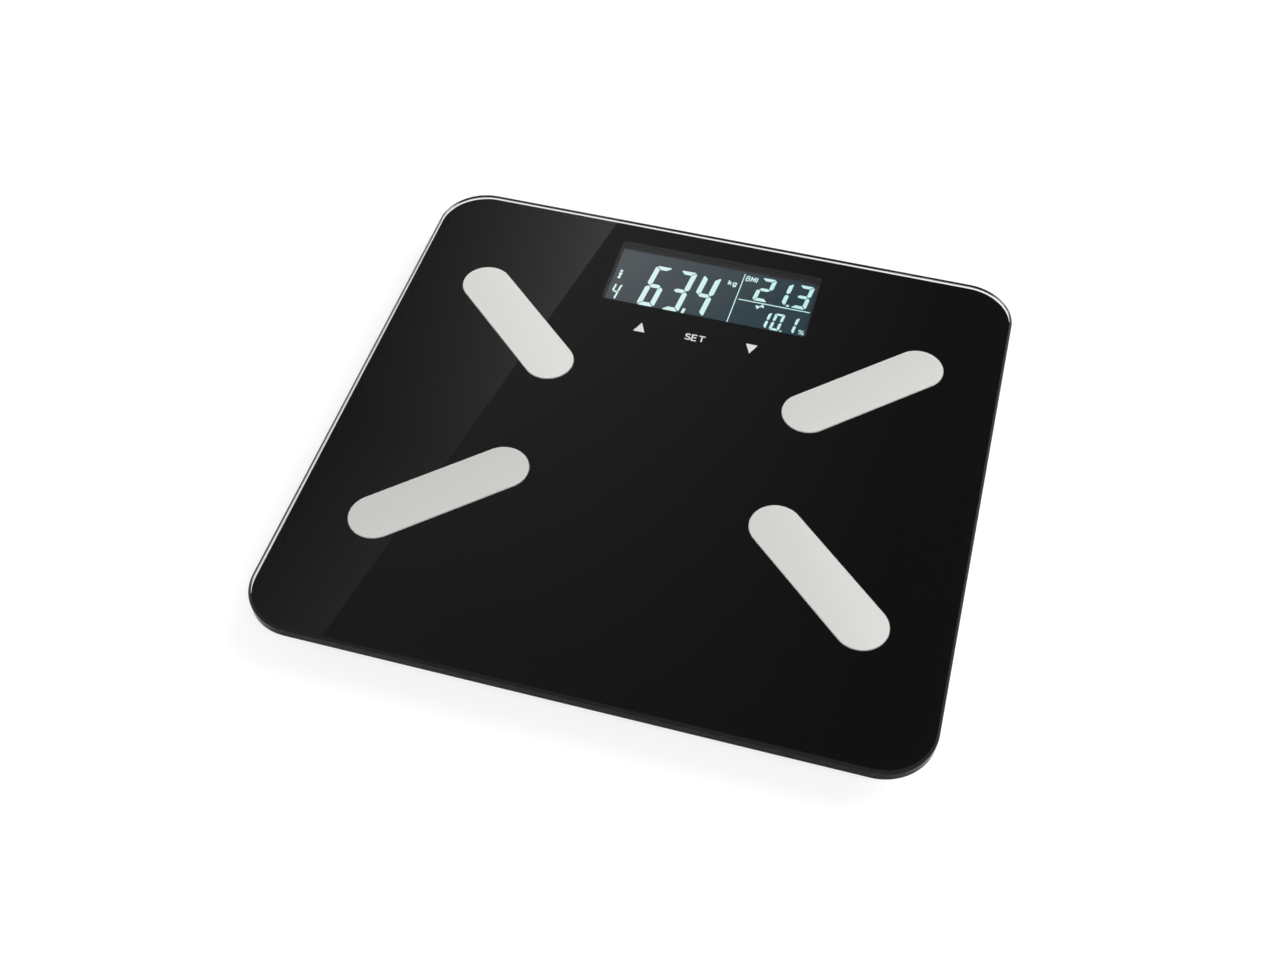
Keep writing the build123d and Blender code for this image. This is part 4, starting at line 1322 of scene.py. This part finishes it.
class CarriedNodes:
    """The CAD nodes that keep their own shapes."""

    OWN = {"display_gasket": Finishes.GASKET}

    def dress(self) -> None:
        """Give every shown node its own finish or that of its slot."""
        for part in frame["record"]["subparts"]:
            node = frame["nodes"][part["node"]]
            if node.hide_render:
                continue
            finish = self.OWN.get(part["node"]) or Finishes.BY_SLOT[part["material_slot"]]
            for holder in node.material_slots:
                holder.material = material_of(finish)
            LOG.info("%s: %s", part["node"], finish.name)


@dataclass
class Lamp:
    """A square soft lamp that points at the object and isn't mirrored; size and place in metres."""

    name: str
    place: tuple[float, float, float]
    size: float
    power: float

    def build(self) -> None:
        """Make the lamp."""
        light = bpy.data.lights.new(self.name, "AREA")
        light.size = self.size
        light.energy = self.power
        lamp = bpy.data.objects.new(self.name, light)
        lamp.location = self.place
        lamp.rotation_euler = (-Vector(self.place)).to_track_quat("-Z", "Y").to_euler()
        lamp.visible_camera = False
        lamp.visible_glossy = False
        bpy.context.scene.collection.objects.link(lamp)


@dataclass
class Sky:
    """A world that is white up to a little above the horizon and dark overhead."""

    overhead: float = 0.08
    left_haze: float = 0.34
    rear_haze: float = 2.8
    rear_start: float = 0.5
    front_drop: float = 0.09
    left_rise: float = 0.06
    horizon: Stops = ((0.62, 1.0), (0.74, 0.0))

    def build(self) -> None:
        """Make the world, with some haze to the left and the rear."""
        world = bpy.data.worlds.new("studio")
        bpy.context.scene.world = world
        world.use_nodes = True
        sheet = NodeSheet(world.node_tree)
        across, along, up = sheet.axes(sheet.add("ShaderNodeTexCoord", {}).outputs["Generated"])
        left, front = (0.0 - across).most(0.0), (0.0 - along).most(0.0)
        rear = (along - self.rear_start).most(0.0)
        haze = left * (rear * self.rear_haze + self.left_haze) + self.overhead
        height = up * 0.5 + 0.5 - front * self.front_drop + left * self.left_rise
        level = sheet.ramp(height, self.horizon).most(haze)
        back = sheet.add("ShaderNodeBackground", {"Color": level, "Strength": 1.0})
        sheet.add("ShaderNodeOutputWorld", {"Surface": back.outputs[0]})


@dataclass
class Studio:
    """Floor, lights and world round the object, sizes in metres."""

    floor_radius: float = 1.4
    floor_steps: int = 64
    card_height: float = 1.525
    card_corner: Point = (-0.532, 1.75)
    card_turn: float = -9.9
    card_size: Point = (1.2, 2.2)
    card_beyond: float = 0.5

    LAMPS = (
        Lamp("front_lamp", (1.3, -2.6, 2.7), 3.0, 108.0),
        Lamp("side_lamp", (2.4, 1.6, 3.0), 2.6, 77.0),
    )

    def build(self) -> None:
        """Make everything that isn't part of the object."""
        self._make_floor()
        self._make_card()
        for lamp in self.LAMPS:
            lamp.build()
        Sky().build()

    @staticmethod
    def _put_on_stage(shape: Shape, finish: Finish) -> Object:
        """Turn a shape into a stage object that throws no shadow.

        Args:
            shape: the shape.
            finish: its finish, which gives it its name too.

        Returns:
            The object.
        """
        item = shape.to_object(finish.name, (finish,))
        item.visible_shadow = False
        return item

    def _make_floor(self) -> None:
        """Make the floor."""
        shape = Shape()
        radius = self.floor_radius
        bmesh.ops.create_circle(shape.mesh, cap_ends=True, segments=self.floor_steps, radius=radius)
        self._put_on_stage(shape, StudioGround("floor"))

    def _make_card(self) -> None:
        """Make the light card behind and to the left, which the glass mirrors."""
        shape = Shape()
        width, length = self.card_size
        verts = bmesh.ops.create_grid(shape.mesh, x_segments=1, y_segments=1, size=0.5)["verts"]
        bmesh.ops.scale(shape.mesh, vec=(width, length, 1.0), verts=verts)
        shape.move(verts, (-width / 2, self.card_beyond - length / 2, 0.0))
        card = self._put_on_stage(shape, CardLight("light_card"))
        turn = Matrix.Rotation(math.radians(self.card_turn), 4, "Z")
        card.matrix_world = Matrix.Translation((*self.card_corner, self.card_height)) @ turn
        card.visible_camera = False


@dataclass
class Viewpoint:
    """The camera, as it stood for the photograph; angles in degrees, lengths in millimetres."""

    lens: float = 43.968
    sensor: float = 36.0
    azimuth: float = 15.171
    elevation: float = 51.047
    roll: float = 0.273
    distance: float = 710.9
    target: Point = (-1.95, -25.0)
    nearest: float = 10.0

    def build(self, level: float) -> None:
        """Make the camera.

        Args:
            level: height of the glass, which the target lies on, in metres.
        """
        across, up = math.radians(self.azimuth), math.radians(self.elevation)
        back = Vector(
            (math.sin(across) * math.cos(up), -math.cos(across) * math.cos(up), math.sin(up))
        )
        data = bpy.data.cameras.new("camera")
        data.lens = self.lens
        data.sensor_width = self.sensor
        data.clip_start = self.nearest * MM
        camera = bpy.data.objects.new("camera", data)
        target = Vector((self.target[0] * MM, self.target[1] * MM, level))
        camera.location = target + back * self.distance * MM
        camera.rotation_mode = "QUATERNION"
        roll = Quaternion((0.0, 0.0, 1.0), math.radians(self.roll))
        camera.rotation_quaternion = (-back).to_track_quat("-Z", "Y") @ roll
        bpy.context.scene.collection.objects.link(camera)
        bpy.context.scene.camera = camera


def main() -> None:
    """Build the object, then the studio round it."""
    logging.basicConfig(level=logging.INFO, format="%(message)s")
    bpy.context.scene.view_settings.view_transform = "Standard"
    glass = GlassPlatform()
    Viewpoint().build(glass.high.z)
    glass.build()
    Electrodes().build()
    Display().build()
    CarriedNodes().dress()
    Studio().build()


if __name__ == "__main__":
    main()
